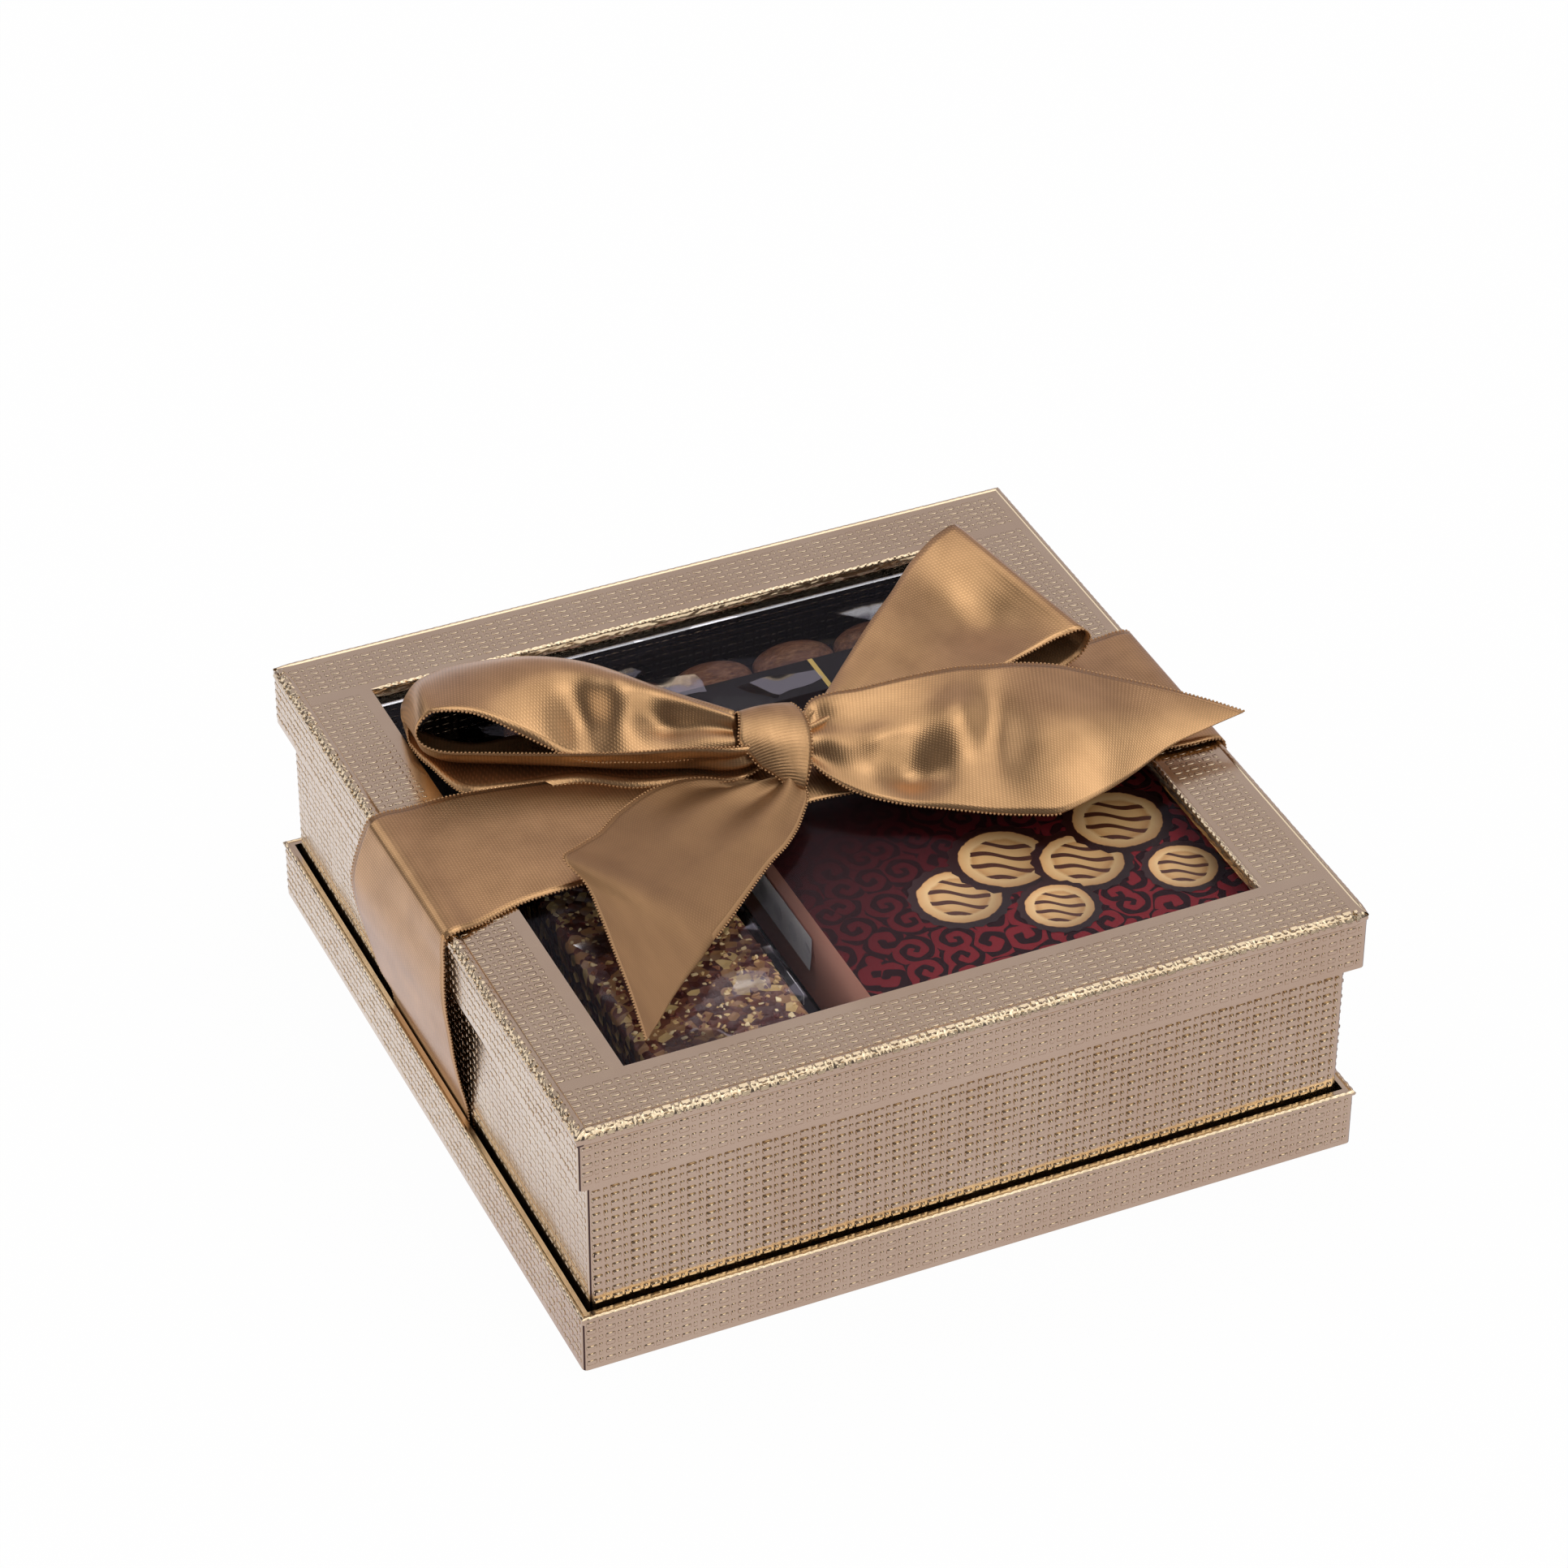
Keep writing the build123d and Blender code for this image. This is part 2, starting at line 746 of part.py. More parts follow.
pieces = [
    tray_underside_paper,
    tray_board,
    tray_wrap,
    tray_corner_tapes,
    inner_box_board,
    inner_box_wrap,
    inner_box_corner_tapes,
    inner_box_floor_paper,
    raised_platform,
    wafer_carton,
    wafer_carton_end_flaps,
    wafer_bag,
    wafer_rolls,
    nut_bar,
    nut_bar_wrapper,
    nut_bar_label,
    nut_bag,
    nut_tray,
    almonds,
    nut_card,
    lid_board,
    lid_wrap,
    lid_corner_tapes,
    window_film,
    lid_liner,
    ribbon_band,
    ribbon_drop_left,
    ribbon_drop_right,
    bow_loop_left,
    bow_loop_right,
    bow_tail_front,
    bow_tail_right,
    bow_knot,
]

os.makedirs("parts", exist_ok=True)
for piece in pieces:
    export_step(piece(), f"parts/{piece.__name__}.step")
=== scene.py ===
import math

import bmesh
import bpy
import numpy as np
from mathutils import Matrix, Vector


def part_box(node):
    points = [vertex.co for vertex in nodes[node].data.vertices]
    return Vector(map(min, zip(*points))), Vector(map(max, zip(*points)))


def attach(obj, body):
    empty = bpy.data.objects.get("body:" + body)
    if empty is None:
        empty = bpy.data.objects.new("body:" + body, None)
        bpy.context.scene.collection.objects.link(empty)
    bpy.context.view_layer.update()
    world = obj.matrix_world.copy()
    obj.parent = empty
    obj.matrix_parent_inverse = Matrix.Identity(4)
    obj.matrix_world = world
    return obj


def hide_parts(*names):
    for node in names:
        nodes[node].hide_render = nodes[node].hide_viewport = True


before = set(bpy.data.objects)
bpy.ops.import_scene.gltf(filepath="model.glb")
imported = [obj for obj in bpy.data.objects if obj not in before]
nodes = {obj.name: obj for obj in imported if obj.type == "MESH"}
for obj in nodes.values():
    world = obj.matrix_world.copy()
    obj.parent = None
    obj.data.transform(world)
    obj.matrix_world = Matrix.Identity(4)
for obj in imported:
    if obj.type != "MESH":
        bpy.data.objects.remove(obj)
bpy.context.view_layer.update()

mm = 0.001


# Camera: the photograph's view, through a long lens held high off the box's front left corner. Its angles
# and distance come from the box's corners in the photograph.
lens_mm, sensor_mm = 125.75, 36.0
view_azimuth, view_elevation, view_roll = math.radians(-24.27), math.radians(36.376), 0.00247
view_distance, aim_right, aim_up = 1.33995, 0.004878, -0.028864
lid_low, lid_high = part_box("lid_wrap")
lid_top = lid_high.z

camera = bpy.data.objects.new("camera", bpy.data.cameras.new("camera"))
bpy.context.scene.collection.objects.link(camera)
camera.data.lens, camera.data.sensor_width = lens_mm, sensor_mm
back = Vector((math.sin(view_azimuth) * math.cos(view_elevation),
               -math.cos(view_azimuth) * math.cos(view_elevation), math.sin(view_elevation)))
level_right = Vector((0, 0, 1)).cross(back).normalized()
level_up = back.cross(level_right)
right = level_right * math.cos(view_roll) + level_up * math.sin(view_roll)
up = back.cross(right)
place = Vector((0, 0, lid_top / 2)) + back * view_distance - right * aim_right - up * aim_up
turned = Matrix((right, up, back)).transposed().to_4x4()
camera.matrix_world = Matrix.Translation(place) @ turned
camera.data.clip_start, camera.data.clip_end = 0.05, 20
bpy.context.scene.camera = camera
bpy.context.scene.view_settings.view_transform = "Standard"


# Studio: a white sweep under and round the box in a dark room. Seven soft lights stand behind the box, over
# it, in front of it and on both sides, and the foil and the satin show them as their highlights.
def plug(tree, made, sockets):
    for socket, value in sockets.items():
        if isinstance(value, bpy.types.NodeSocket):
            tree.links.new(value, made.inputs[socket])
        else:
            made.inputs[socket].default_value = value


def node(tree, kind, sockets=None, **settings):
    made = tree.nodes.new(kind)
    for setting, value in settings.items():
        setattr(made, setting, value)
    plug(tree, made, sockets or {})
    return made


def sum_of(tree, operation, *values):
    return node(tree, "ShaderNodeMath", dict(enumerate(values)), operation=operation).outputs[0]


def vector_sum(tree, operation, *values):
    made = node(tree, "ShaderNodeVectorMath", dict(enumerate(values)), operation=operation)
    return made.outputs["Value" if operation in ("DOT_PRODUCT", "LENGTH") else "Vector"]


def parts_of(tree, vector):
    return node(tree, "ShaderNodeSeparateXYZ", {0: vector}).outputs


def own_coords(tree):
    return node(tree, "ShaderNodeTexCoord").outputs["Object"]


def map_range(tree, value, low, high, to_low=0.0, to_high=1.0, kind="LINEAR"):
    sockets = {"Value": value, "From Min": low, "From Max": high, "To Min": to_low, "To Max": to_high}
    return node(tree, "ShaderNodeMapRange", sockets, interpolation_type=kind).outputs[0]


def mixed(tree, share, first, second, **settings):
    sockets = {"Fac": share, "Color1": first, "Color2": second}
    return node(tree, "ShaderNodeMixRGB", sockets, **settings).outputs[0]


def blend(tree, share, first, second):
    return node(tree, "ShaderNodeMixShader", {0: share, 1: first.outputs[0], 2: second.outputs[0]})


def ramp(tree, factor, stops, mode="LINEAR"):
    made = node(tree, "ShaderNodeValToRGB", {"Fac": factor})
    made.color_ramp.interpolation = mode
    while len(made.color_ramp.elements) < len(stops):
        made.color_ramp.elements.new(0.5)
    for element, (stop, colour) in zip(made.color_ramp.elements, stops):
        element.position = stop
        element.color = (*colour, 1) if len(colour) == 3 else colour
    return made.outputs["Color"]


sweep_radius, sweep_white, sweep_shadow_share = 3.0, (0.8, 0.8, 0.8), 0.03
dark_room, room_glow = (0.085, 0.08, 0.09), (0.62, 0.60, 0.60)
# Towards which each light lies, how far its full part and its faded rim reach (degrees), colour and
# strength.
light_parts = (
    ((0.36, 0.85, 0.40), 22, 42, (1.0, 0.895, 1.0), 0.37),
    ((0.19, 0.16, 0.96), 17, 28, (1.0, 0.98, 0.94), 3.0),
    ((0.29, -0.30, 0.91), 13, 26, (1.0, 0.98, 0.94), 2.6),
    ((-0.45, 0.70, 0.60), 10, 19, (1.0, 1.0, 1.0), 3.2),
    ((-0.97, 0.12, 0.12), 14, 30, (1.0, 0.92, 0.82), 6.0),
    ((0.92, 0.10, 0.38), 12, 30, (1.0, 0.97, 0.93), 0.6),
    ((0.33, -0.78, 0.52), 12, 22, (1.0, 0.98, 0.92), 4.2))
world = bpy.data.worlds.new("studio")
bpy.context.scene.world = world
world.use_nodes = True
sky = world.node_tree
sky.nodes.clear()
looking = node(sky, "ShaderNodeTexCoord").outputs["Generated"]
room = node(sky, "ShaderNodeRGB")
room.outputs[0].default_value = (*dark_room, 1)
room_light = room.outputs[0]
for towards, full_reach, faded_reach, colour, strength in light_parts:
    close = vector_sum(sky, "DOT_PRODUCT", looking, Vector(towards).normalized())
    fade = map_range(sky, close, math.cos(math.radians(faded_reach)), math.cos(math.radians(full_reach)),
                     to_high=strength, kind="SMOOTHSTEP")
    room_light = mixed(sky, fade, room_light, (*colour, 1), blend_type="ADD", use_clamp=False)
soft_light = mixed(sky, 1.0, room_light, (*room_glow, 1), blend_type="ADD", use_clamp=False)
ray = node(sky, "ShaderNodeLightPath").outputs
by_ray = mixed(sky, ray["Is Diffuse Ray"], room_light, soft_light)
lit = node(sky, "ShaderNodeBackground", {"Color": by_ray, "Strength": 1.0})
plain = node(sky, "ShaderNodeBackground", {"Color": (1, 1, 1, 1), "Strength": 1.0})
whole_sky = blend(sky, ray["Is Camera Ray"], lit, plain)
node(sky, "ShaderNodeOutputWorld", {"Surface": whole_sky.outputs[0]})

# The sweep is white to the camera. In the foil it is grey in front of the box and a cool white on its left.
rim_points, sweep_drop, sweep_bounce = 64, -0.1 * mm, (0.80, 0.78, 0.76)
mirror_front, mirror_left, cool_from, cool_to = (0.565, 0.505, 0.565), (0.85, 0.87, 1.0), -0.03, 0.13
turns = np.linspace(0, 2 * math.pi, rim_points, endpoint=False)
rim = [(sweep_radius * math.cos(turn), sweep_radius * math.sin(turn), sweep_drop) for turn in turns]
sweep_mesh = bpy.data.meshes.new("sweep")
sweep_mesh.from_pydata(rim, [], [list(range(len(rim)))])
sweep = bpy.data.objects.new("sweep", sweep_mesh)
bpy.context.scene.collection.objects.link(sweep)
paper = bpy.data.materials.new("white_sweep")
paper.use_nodes = True
tree = paper.node_tree
tree.nodes.clear()
matt = node(tree, "ShaderNodeBsdfDiffuse", {"Color": (*sweep_white, 1)})
glow = node(tree, "ShaderNodeEmission", {"Color": (1, 1, 1, 1), "Strength": 1.0})
spot = parts_of(tree, own_coords(tree))
leftness = sum_of(tree, "SUBTRACT", spot["Y"], spot["X"])
cool = map_range(tree, leftness, cool_from, cool_to, kind="SMOOTHSTEP")
mirror_white = ramp(tree, cool, [(0.0, mirror_front), (1.0, mirror_left)])
mirrored = node(tree, "ShaderNodeEmission", {"Color": mirror_white})
bounced = node(tree, "ShaderNodeEmission", {"Color": (*sweep_bounce, 1), "Strength": 1.0})
ray = node(tree, "ShaderNodeLightPath").outputs
unseen = blend(tree, ray["Is Glossy Ray"], bounced, mirrored)
seen = sum_of(tree, "MAXIMUM", ray["Is Camera Ray"], ray["Is Transmission Ray"])
shown = blend(tree, seen, unseen, blend(tree, sweep_shadow_share, glow, matt))
node(tree, "ShaderNodeOutputMaterial", {"Surface": shown.outputs[0]})
sweep_mesh.materials.append(paper)


# Foil wraps: champagne foil on paper, embossed with a woven pattern and drawn tightly over the greyboard of
# lid, inner box and tray. The cells of the weave stand proud, deepest on the inner box, and go on over the
# bead that the foil makes along the lid's front and left edges.
champagne, champagne_deep = (0.82, 0.67, 0.475, 1), (0.76, 0.60, 0.415, 1)
seam_reach, seam_top, seam_colour = 0.74 * mm, 2 * mm, (0.10, 0.06, 0.05, 1)
cloud_size, wave_size, scuff_size, foil_grain = 30 * mm, 24 * mm, 6 * mm, 1.1 * mm
smoothest, roughest = -0.05, 0.07


def new_material(name):
    material = bpy.data.materials.new(name)
    material.use_nodes = True
    return material, material.node_tree, material.node_tree.nodes["Principled BSDF"]


def surface_bump(tree, shader, *layers):
    below = None
    for height_socket, depth in layers:
        made = node(tree, "ShaderNodeBump", {"Height": height_socket, "Distance": depth, "Strength": 1.0})
        if below is not None:
            tree.links.new(below, made.inputs["Normal"])
        below = made.outputs["Normal"]
    tree.links.new(below, shader.inputs["Normal"])


def wear_noise(tree, coords, size, detail=3.0, roughness=0.55):
    made = node(tree, "ShaderNodeTexNoise",
                {"Vector": coords, "Scale": 1 / size, "Detail": detail, "Roughness": roughness})
    return made.outputs["Fac"]


def foil_material(name, wrapped, roughness, wave_depth, grain_depth):
    """Foil with slow waves and fine grain, and the wrap's dark seam down the four corners of its node."""
    material, tree, shader = new_material(name)
    coords = own_coords(tree)
    spot = parts_of(tree, coords)
    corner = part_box(wrapped)[1]
    reach = sum_of(tree, "ADD", sum_of(tree, "ABSOLUTE", spot["X"]), sum_of(tree, "ABSOLUTE", spot["Y"]))
    past = sum_of(tree, "GREATER_THAN", reach, corner.x + corner.y - seam_reach)
    seam = sum_of(tree, "MULTIPLY", past, sum_of(tree, "LESS_THAN", spot["Z"], corner.z - seam_top))
    coat = ramp(tree, wear_noise(tree, coords, cloud_size), [(0.3, champagne_deep), (0.7, champagne)])
    scuffed = map_range(tree, wear_noise(tree, coords, scuff_size), 0.0, 1.0,
                        roughness + smoothest, roughness + roughest)
    plug(tree, shader, {
        "Base Color": mixed(tree, seam, coat, seam_colour), "Roughness": scuffed, "Metallic": 1.0})
    surface_bump(tree, shader, (wear_noise(tree, coords, wave_size, 1.0), wave_depth),
                 (wear_noise(tree, coords, foil_grain, 2.0), grain_depth))
    return material


lid_foil = foil_material("lid_foil", "lid_wrap", roughness=0.20, wave_depth=0.5 * mm, grain_depth=0.014 * mm)
box_foil = foil_material("inner_box_foil", "inner_box_wrap", 0.18, 0.8 * mm, 0.018 * mm)
tray_foil = foil_material("tray_foil", "tray_wrap", 0.20, 0.6 * mm, 0.02 * mm)


def dress(material, *names):
    for name in names:
        for place in nodes[name].material_slots:
            place.material = material


dress(lid_foil, "lid_wrap")
dress(box_foil, "inner_box_wrap")
dress(tray_foil, "tray_wrap")

# The weave has a wide and a narrow cell in turn along each row. Every cell strays a little and has its own
# size.
column_pitch, row_pitch = 4.7 * mm, 2.25 * mm
wide_cell, narrow_cell, cell_depth = 2.45 * mm, 1.15 * mm, 1.5 * mm
cell_stray, cell_corner, cell_sunk = Vector((0.07 * mm, 0.05 * mm, 0)), 0.86, -0.15
smallest_cell, largest_cell = (0.86, 0.86, 0.55), (1.12, 1.1, 1.15)


def interface(tree, **kinds):
    ids = {}
    for name, kind in kinds.items():
        made = tree.interface.new_socket(name, in_out="INPUT", socket_type="NodeSocket" + kind)
        ids[name] = made.identifier
    tree.interface.new_socket("Geometry", in_out="OUTPUT", socket_type="NodeSocketGeometry")
    return ids


def emboss_cell():
    """A flat-topped cell of unit size, its edges a little under the foil and its corners cut short."""
    columns, rows = (-0.5, -0.38, 0.38, 0.5), (-0.5, -0.26, 0.26, 0.5)
    points = []
    for row in rows:
        for column in columns:
            edge = abs(row) == 0.5 or abs(column) == 0.5
            both = abs(row) == 0.5 and abs(column) == 0.5
            pull = cell_corner if both else 1.0
            points.append((column * pull, row * pull, cell_sunk if edge else 1.0))
    faces = [(r * 4 + c, r * 4 + c + 1, r * 4 + c + 5, r * 4 + c + 4) for r in range(3) for c in range(3)]
    faces.append((0, 4, 8, 12, 13, 14, 15, 11, 7, 3, 2, 1))
    mesh = bpy.data.meshes.new("emboss_cell")
    mesh.from_pydata(points, [], faces)
    for face in mesh.polygons:
        face.use_smooth = len(face.vertices) == 4 and face.index != 4
    made = bpy.data.objects.new("emboss_cell", mesh)
    bpy.context.scene.collection.objects.link(made)
    return made


weave_tree = bpy.data.node_groups.new("embossed_weave", "GeometryNodeTree")
weave_ids = interface(weave_tree, Across="Float", Along="Float", Columns="Int", Rows="Int", Shift="Float",
                      CellSize="Vector", Seed="Int", Cell="Object", Finish="Material")
given = weave_tree.nodes.new("NodeGroupInput").outputs
grid = node(weave_tree, "GeometryNodeMeshGrid", {"Size X": given["Across"], "Size Y": given["Along"],
                                                 "Vertices X": given["Columns"], "Vertices Y": given["Rows"]})
stray = node(weave_tree, "FunctionNodeRandomValue", {
    "Min": -cell_stray, "Max": cell_stray, "Seed": given["Seed"]}, data_type="FLOAT_VECTOR")
sideways = node(weave_tree, "ShaderNodeCombineXYZ", {"X": given["Shift"]})
moved = vector_sum(weave_tree, "ADD", stray.outputs[0], sideways.outputs[0])
placed = node(weave_tree, "GeometryNodeSetPosition", {"Geometry": grid.outputs["Mesh"], "Offset": moved})
cell = node(weave_tree, "GeometryNodeObjectInfo", {"Object": given["Cell"]})
uneven = node(weave_tree, "FunctionNodeRandomValue", {
    "Min": smallest_cell, "Max": largest_cell, "Seed": given["Seed"]}, data_type="FLOAT_VECTOR")
sized = vector_sum(weave_tree, "MULTIPLY", uneven.outputs[0], given["CellSize"])
cells = node(weave_tree, "GeometryNodeInstanceOnPoints", {
    "Points": placed.outputs[0], "Scale": sized, "Instance": cell.outputs["Geometry"]})
real = node(weave_tree, "GeometryNodeRealizeInstances", {"Geometry": cells.outputs[0]})
coated = node(weave_tree, "GeometryNodeSetMaterial",
              {"Geometry": real.outputs[0], "Material": given["Finish"]})
weave_tree.links.new(coated.outputs[0], weave_tree.nodes.new("NodeGroupOutput").inputs[0])


def grown(name, tree, ids, values, base=None):
    """The plain mesh that a Geometry Nodes tree makes, out of nothing or out of a base mesh."""
    holder = bpy.data.objects.new(name, base or bpy.data.meshes.new(name))
    bpy.context.scene.collection.objects.link(holder)
    modifier = holder.modifiers.new(name, "NODES")
    modifier.node_group = tree
    for key, value in values.items():
        modifier[ids[key]] = value
    seen = holder.evaluated_get(bpy.context.evaluated_depsgraph_get())
    mesh = bpy.data.meshes.new_from_object(seen)
    holder.modifiers.remove(modifier)
    bpy.data.objects.remove(holder)
    return mesh


def piece(name, mesh, body):
    """A piece of one mesh, riding on a body."""
    made = bpy.data.objects.new(name, mesh)
    bpy.context.scene.collection.objects.link(made)
    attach(made, body)
    return made


def joined(name, meshes, finish, body):
    """A piece of several meshes."""
    gathered = bmesh.new()
    for mesh in meshes:
        gathered.from_mesh(mesh)
        bpy.data.meshes.remove(mesh)
    whole = bpy.data.meshes.new(name)
    gathered.to_mesh(whole)
    gathered.free()
    whole.materials.append(finish)
    piece(name, whole, body)


def smooth_mesh(name, points, faces, *finishes):
    mesh = bpy.data.meshes.new(name)
    mesh.from_pydata(points, [], faces)
    mesh.polygons.foreach_set("use_smooth", [True] * len(faces))
    for finish in finishes:
        mesh.materials.append(finish)
    return mesh


def grid_faces(lines, width, start=0):
    """The faces between neighbouring lines of points, each line width points long."""
    faces = []
    for line in range(lines - 1):
        for order in range(width - 1):
            corner = start + line * width + order
            faces.append((corner, corner + width, corner + width + 1, corner + 1))
    return faces


def embossed(patches, finish, seed):
    """The cells of each patch: its middle, its directions along a row and across the rows, its two sizes, and
    how far the cells stand proud."""
    made = []
    pattern = emboss_cell()
    for middle, along, across, length, breadth, relief in patches:
        columns = max(1, round(length / column_pitch))
        rows = max(1, round(breadth / row_pitch))
        facing = Vector(along).cross(Vector(across))
        matrix = Matrix((along, across, facing)).transposed().to_4x4()
        matrix.translation = middle
        for width, shift in ((wide_cell, -column_pitch / 4), (narrow_cell, column_pitch / 4)):
            seed += 1
            mesh = grown("weave", weave_tree, weave_ids, {
                "Across": length * (1 - 1 / columns), "Along": breadth * (1 - 1 / rows), "Columns": columns,
                "Rows": rows, "Shift": shift, "CellSize": (width, cell_depth, relief), "Seed": seed,
                "Cell": pattern, "Finish": finish})
            mesh.transform(matrix)
            made.append(mesh)
    bpy.data.objects.remove(pattern)
    return made


def side_of(half_x, half_y, turn):
    """How far a side of a box lies from its middle, half its length, and the turn to it from the front."""
    half, across = (half_y, half_x) if turn % 2 == 0 else (half_x, half_y)
    return half, across, Matrix.Rotation(turn * math.pi / 2, 3, "Z")


def four_sides(half_x, half_y, low, high, relief, outwards=1, trim=0.0, left_share=1.0):
    """Patches on the four upright walls of a box."""
    middle_z, tall = (low + high) / 2, high - low
    sides = []
    for turn in (0, 1, 2, 3):
        half, reach, spin = side_of(half_x, half_y, turn)
        middle = spin @ Vector((0, -half, middle_z))
        along = spin @ Vector((outwards, 0, 0))
        share = left_share if turn == 3 else 1.0
        sides.append((middle, along, Vector((0, 0, 1)), 2 * (reach - trim), tall, relief * share))
    return sides


# The bead runs round the board's edge from one angle over a turn (degrees), and swells where it isn't sunk.
# Two rows of strokes lie on it, each at its own angle, the second row half a stroke on. A stroke ends at
# these shares of its pitch and its reach.
bead_sunk_share, bead_swell, bead_from, bead_turn, sinking = 0.96, 1.43, -52, 194, 4.0 * mm
stroke_rows, stroke_reach, stroke_half, stroke_edge = ((16, 0.0), (63, 0.5)), 46, 0.34, 0.45
stroke_pitch, stroke_stray, weakest_stroke, strongest_stroke = 2.05 * mm, 0.09, 0.55, 1.2


def rolled_edge(half_x, half_y, level, bead, relief, outwards=1, seed=1, sides=(0, 1, 2, 3)):
    """The foil's bead over the top edges of a wrapped board, with two rows of strokes pressed into it. It
    sinks into the board where the next side has none."""
    rng = np.random.default_rng(seed)
    bands = 15
    step_length = 0.39 * mm
    points, faces = [], []
    for turn in sides:
        half, across, spin = side_of(half_x, half_y, turn)
        steps = int(2 * across / step_length)
        strength = rng.uniform(weakest_stroke, strongest_stroke, (2, int(2 * across / stroke_pitch) + 4))
        stray = rng.normal(size=(2, strength.shape[1])) * stroke_stray
        start = len(points)
        for step in range(steps + 1):
            run = 2 * step / steps - 1
            open_ends = [end for end in (-1, 1) if (turn + end) % 4 not in sides]
            full = min([sinking] + [across * (1 - end * run) for end in open_ends]) / sinking
            for band in range(bands):
                angle = math.radians(bead_from + bead_turn * band / (bands - 1))
                height = 0.0
                for row, (middle, shift) in enumerate(stroke_rows):
                    place = (run + 1) * across / stroke_pitch + shift
                    order = int(place)
                    off = abs(place - order - 0.5 + stray[row, order])
                    side = abs(math.degrees(angle) - middle) / stroke_reach
                    lump = max(0.0, 1 - (off / stroke_half) ** 4) * max(0.0, 1 - (side / stroke_edge) ** 4)
                    height += lump * strength[row, order]
                swell = bead_sunk_share + (bead_swell - bead_sunk_share) * full
                radius = bead * swell + relief * height * full
                out = -bead + radius * math.sin(angle)
                rise = -bead + radius * math.cos(angle)
                line = across + outwards * out
                points.append(spin @ Vector((run * line, -(half + outwards * out), level + rise)))
        for step in range(steps):
            for band in range(bands - 1):
                low = start + step * bands + band
                face = (low, low + 1, low + bands + 1, low + bands)
                faces.append(face if outwards > 0 else face[::-1])
    return smooth_mesh("rolled_edge", points, faces)


lid_half_x, lid_half_y, skirt_low, frame_breadth = lid_high.x, lid_high.y, lid_low.z, 19 * mm
window_half_x, window_half_y = lid_half_x - frame_breadth, lid_half_y - frame_breadth
edge_margin, lid_relief, skirt_relief, wall_relief = 2.8 * mm, 0.075 * mm, 0.2 * mm, 0.5 * mm
lid_patches = []
for side in (-1, 1):
    lid_patches.append((Vector((0, side * (window_half_y + frame_breadth / 2), lid_top)), Vector((1, 0, 0)),
                        Vector((0, 1, 0)), 2 * (lid_half_x - edge_margin), frame_breadth - 2 * edge_margin,
                        lid_relief))
    lid_patches.append((Vector((side * (window_half_x + frame_breadth / 2), 0, lid_top)), Vector((1, 0, 0)),
                        Vector((0, 1, 0)), frame_breadth - 2 * edge_margin, 2 * window_half_y, lid_relief))
corner_margin = 0.9 * mm
lid_patches += four_sides(lid_half_x, lid_half_y, skirt_low + corner_margin, lid_top - edge_margin,
                          skirt_relief, trim=corner_margin)
# The weave's own cells go on over the front and left bead, in two rows.
lid_bead, cells_sunk, bead_relief, cells_from_corner = 1.5 * mm, 0.06 * mm, 0.46 * mm, 2 * mm
for turn in (0, 3):
    half, across, spin = side_of(lid_half_x, lid_half_y, turn)
    for tilt in [math.radians(middle) for middle, shift in stroke_rows]:
        reach = lid_bead * bead_swell - cells_sunk
        out = half - lid_bead + reach * math.sin(tilt)
        middle = Vector((0, -out, lid_top - lid_bead + reach * math.cos(tilt)))
        up_the_bead = Vector((0, math.cos(tilt), math.sin(tilt)))
        lid_patches.append((spin @ middle, spin @ Vector((1, 0, 0)), spin @ up_the_bead,
                            2 * (across - cells_from_corner), row_pitch, bead_relief))
lid_meshes = embossed(lid_patches, lid_foil, 100)
lid_meshes.append(rolled_edge(lid_half_x, lid_half_y, lid_top, bead=lid_bead, relief=0.34 * mm,
                              seed=1, sides=(0, 3)))
lid_meshes.append(rolled_edge(lid_half_x, lid_half_y, lid_top, bead=0.6 * mm, relief=0.08 * mm,
                              seed=5, sides=(1, 2)))
lid_meshes.append(rolled_edge(window_half_x, window_half_y, lid_top, bead=0.55 * mm, relief=0.26 * mm,
                              outwards=-1, seed=2, sides=(1, 2)))


def crumpled_turn(half_x, half_y, top, low, lean, crumple, sides):
    """Foil crumpled over the cut edges of the window, leaning in towards the film."""
    rng = np.random.default_rng(4)
    rows, width = 7, 0.8 * mm
    points, faces = [], []
    for turn in sides:
        half, across, spin = side_of(half_x, half_y, turn)
        columns = int(2 * across / width)
        start = len(points)
        loose = rng.uniform(0, 1, (columns + 1, rows))
        for column in range(columns + 1):
            for row in range(rows):
                down = row / (rows - 1)
                inset = lean * down + crumple * loose[column, row] * (0.2 + 0.8 * math.sin(math.pi * down))
                line = half - inset
                points.append(spin @ Vector(((2 * column / columns - 1) * (across - inset), -line,
                                             top + (low - top) * down)))
        faces += grid_faces(columns + 1, rows, start)
    return smooth_mesh("crumpled_turn", points, faces)


film_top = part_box("window_film")[1].z
lid_meshes.append(crumpled_turn(window_half_x, window_half_y, top=lid_top - 0.2 * mm, low=film_top + 0.1 * mm,
                                lean=0.8 * mm, crumple=0.32 * mm, sides=(1, 2)))
joined("lid_emboss", lid_meshes, lid_foil, "lid")

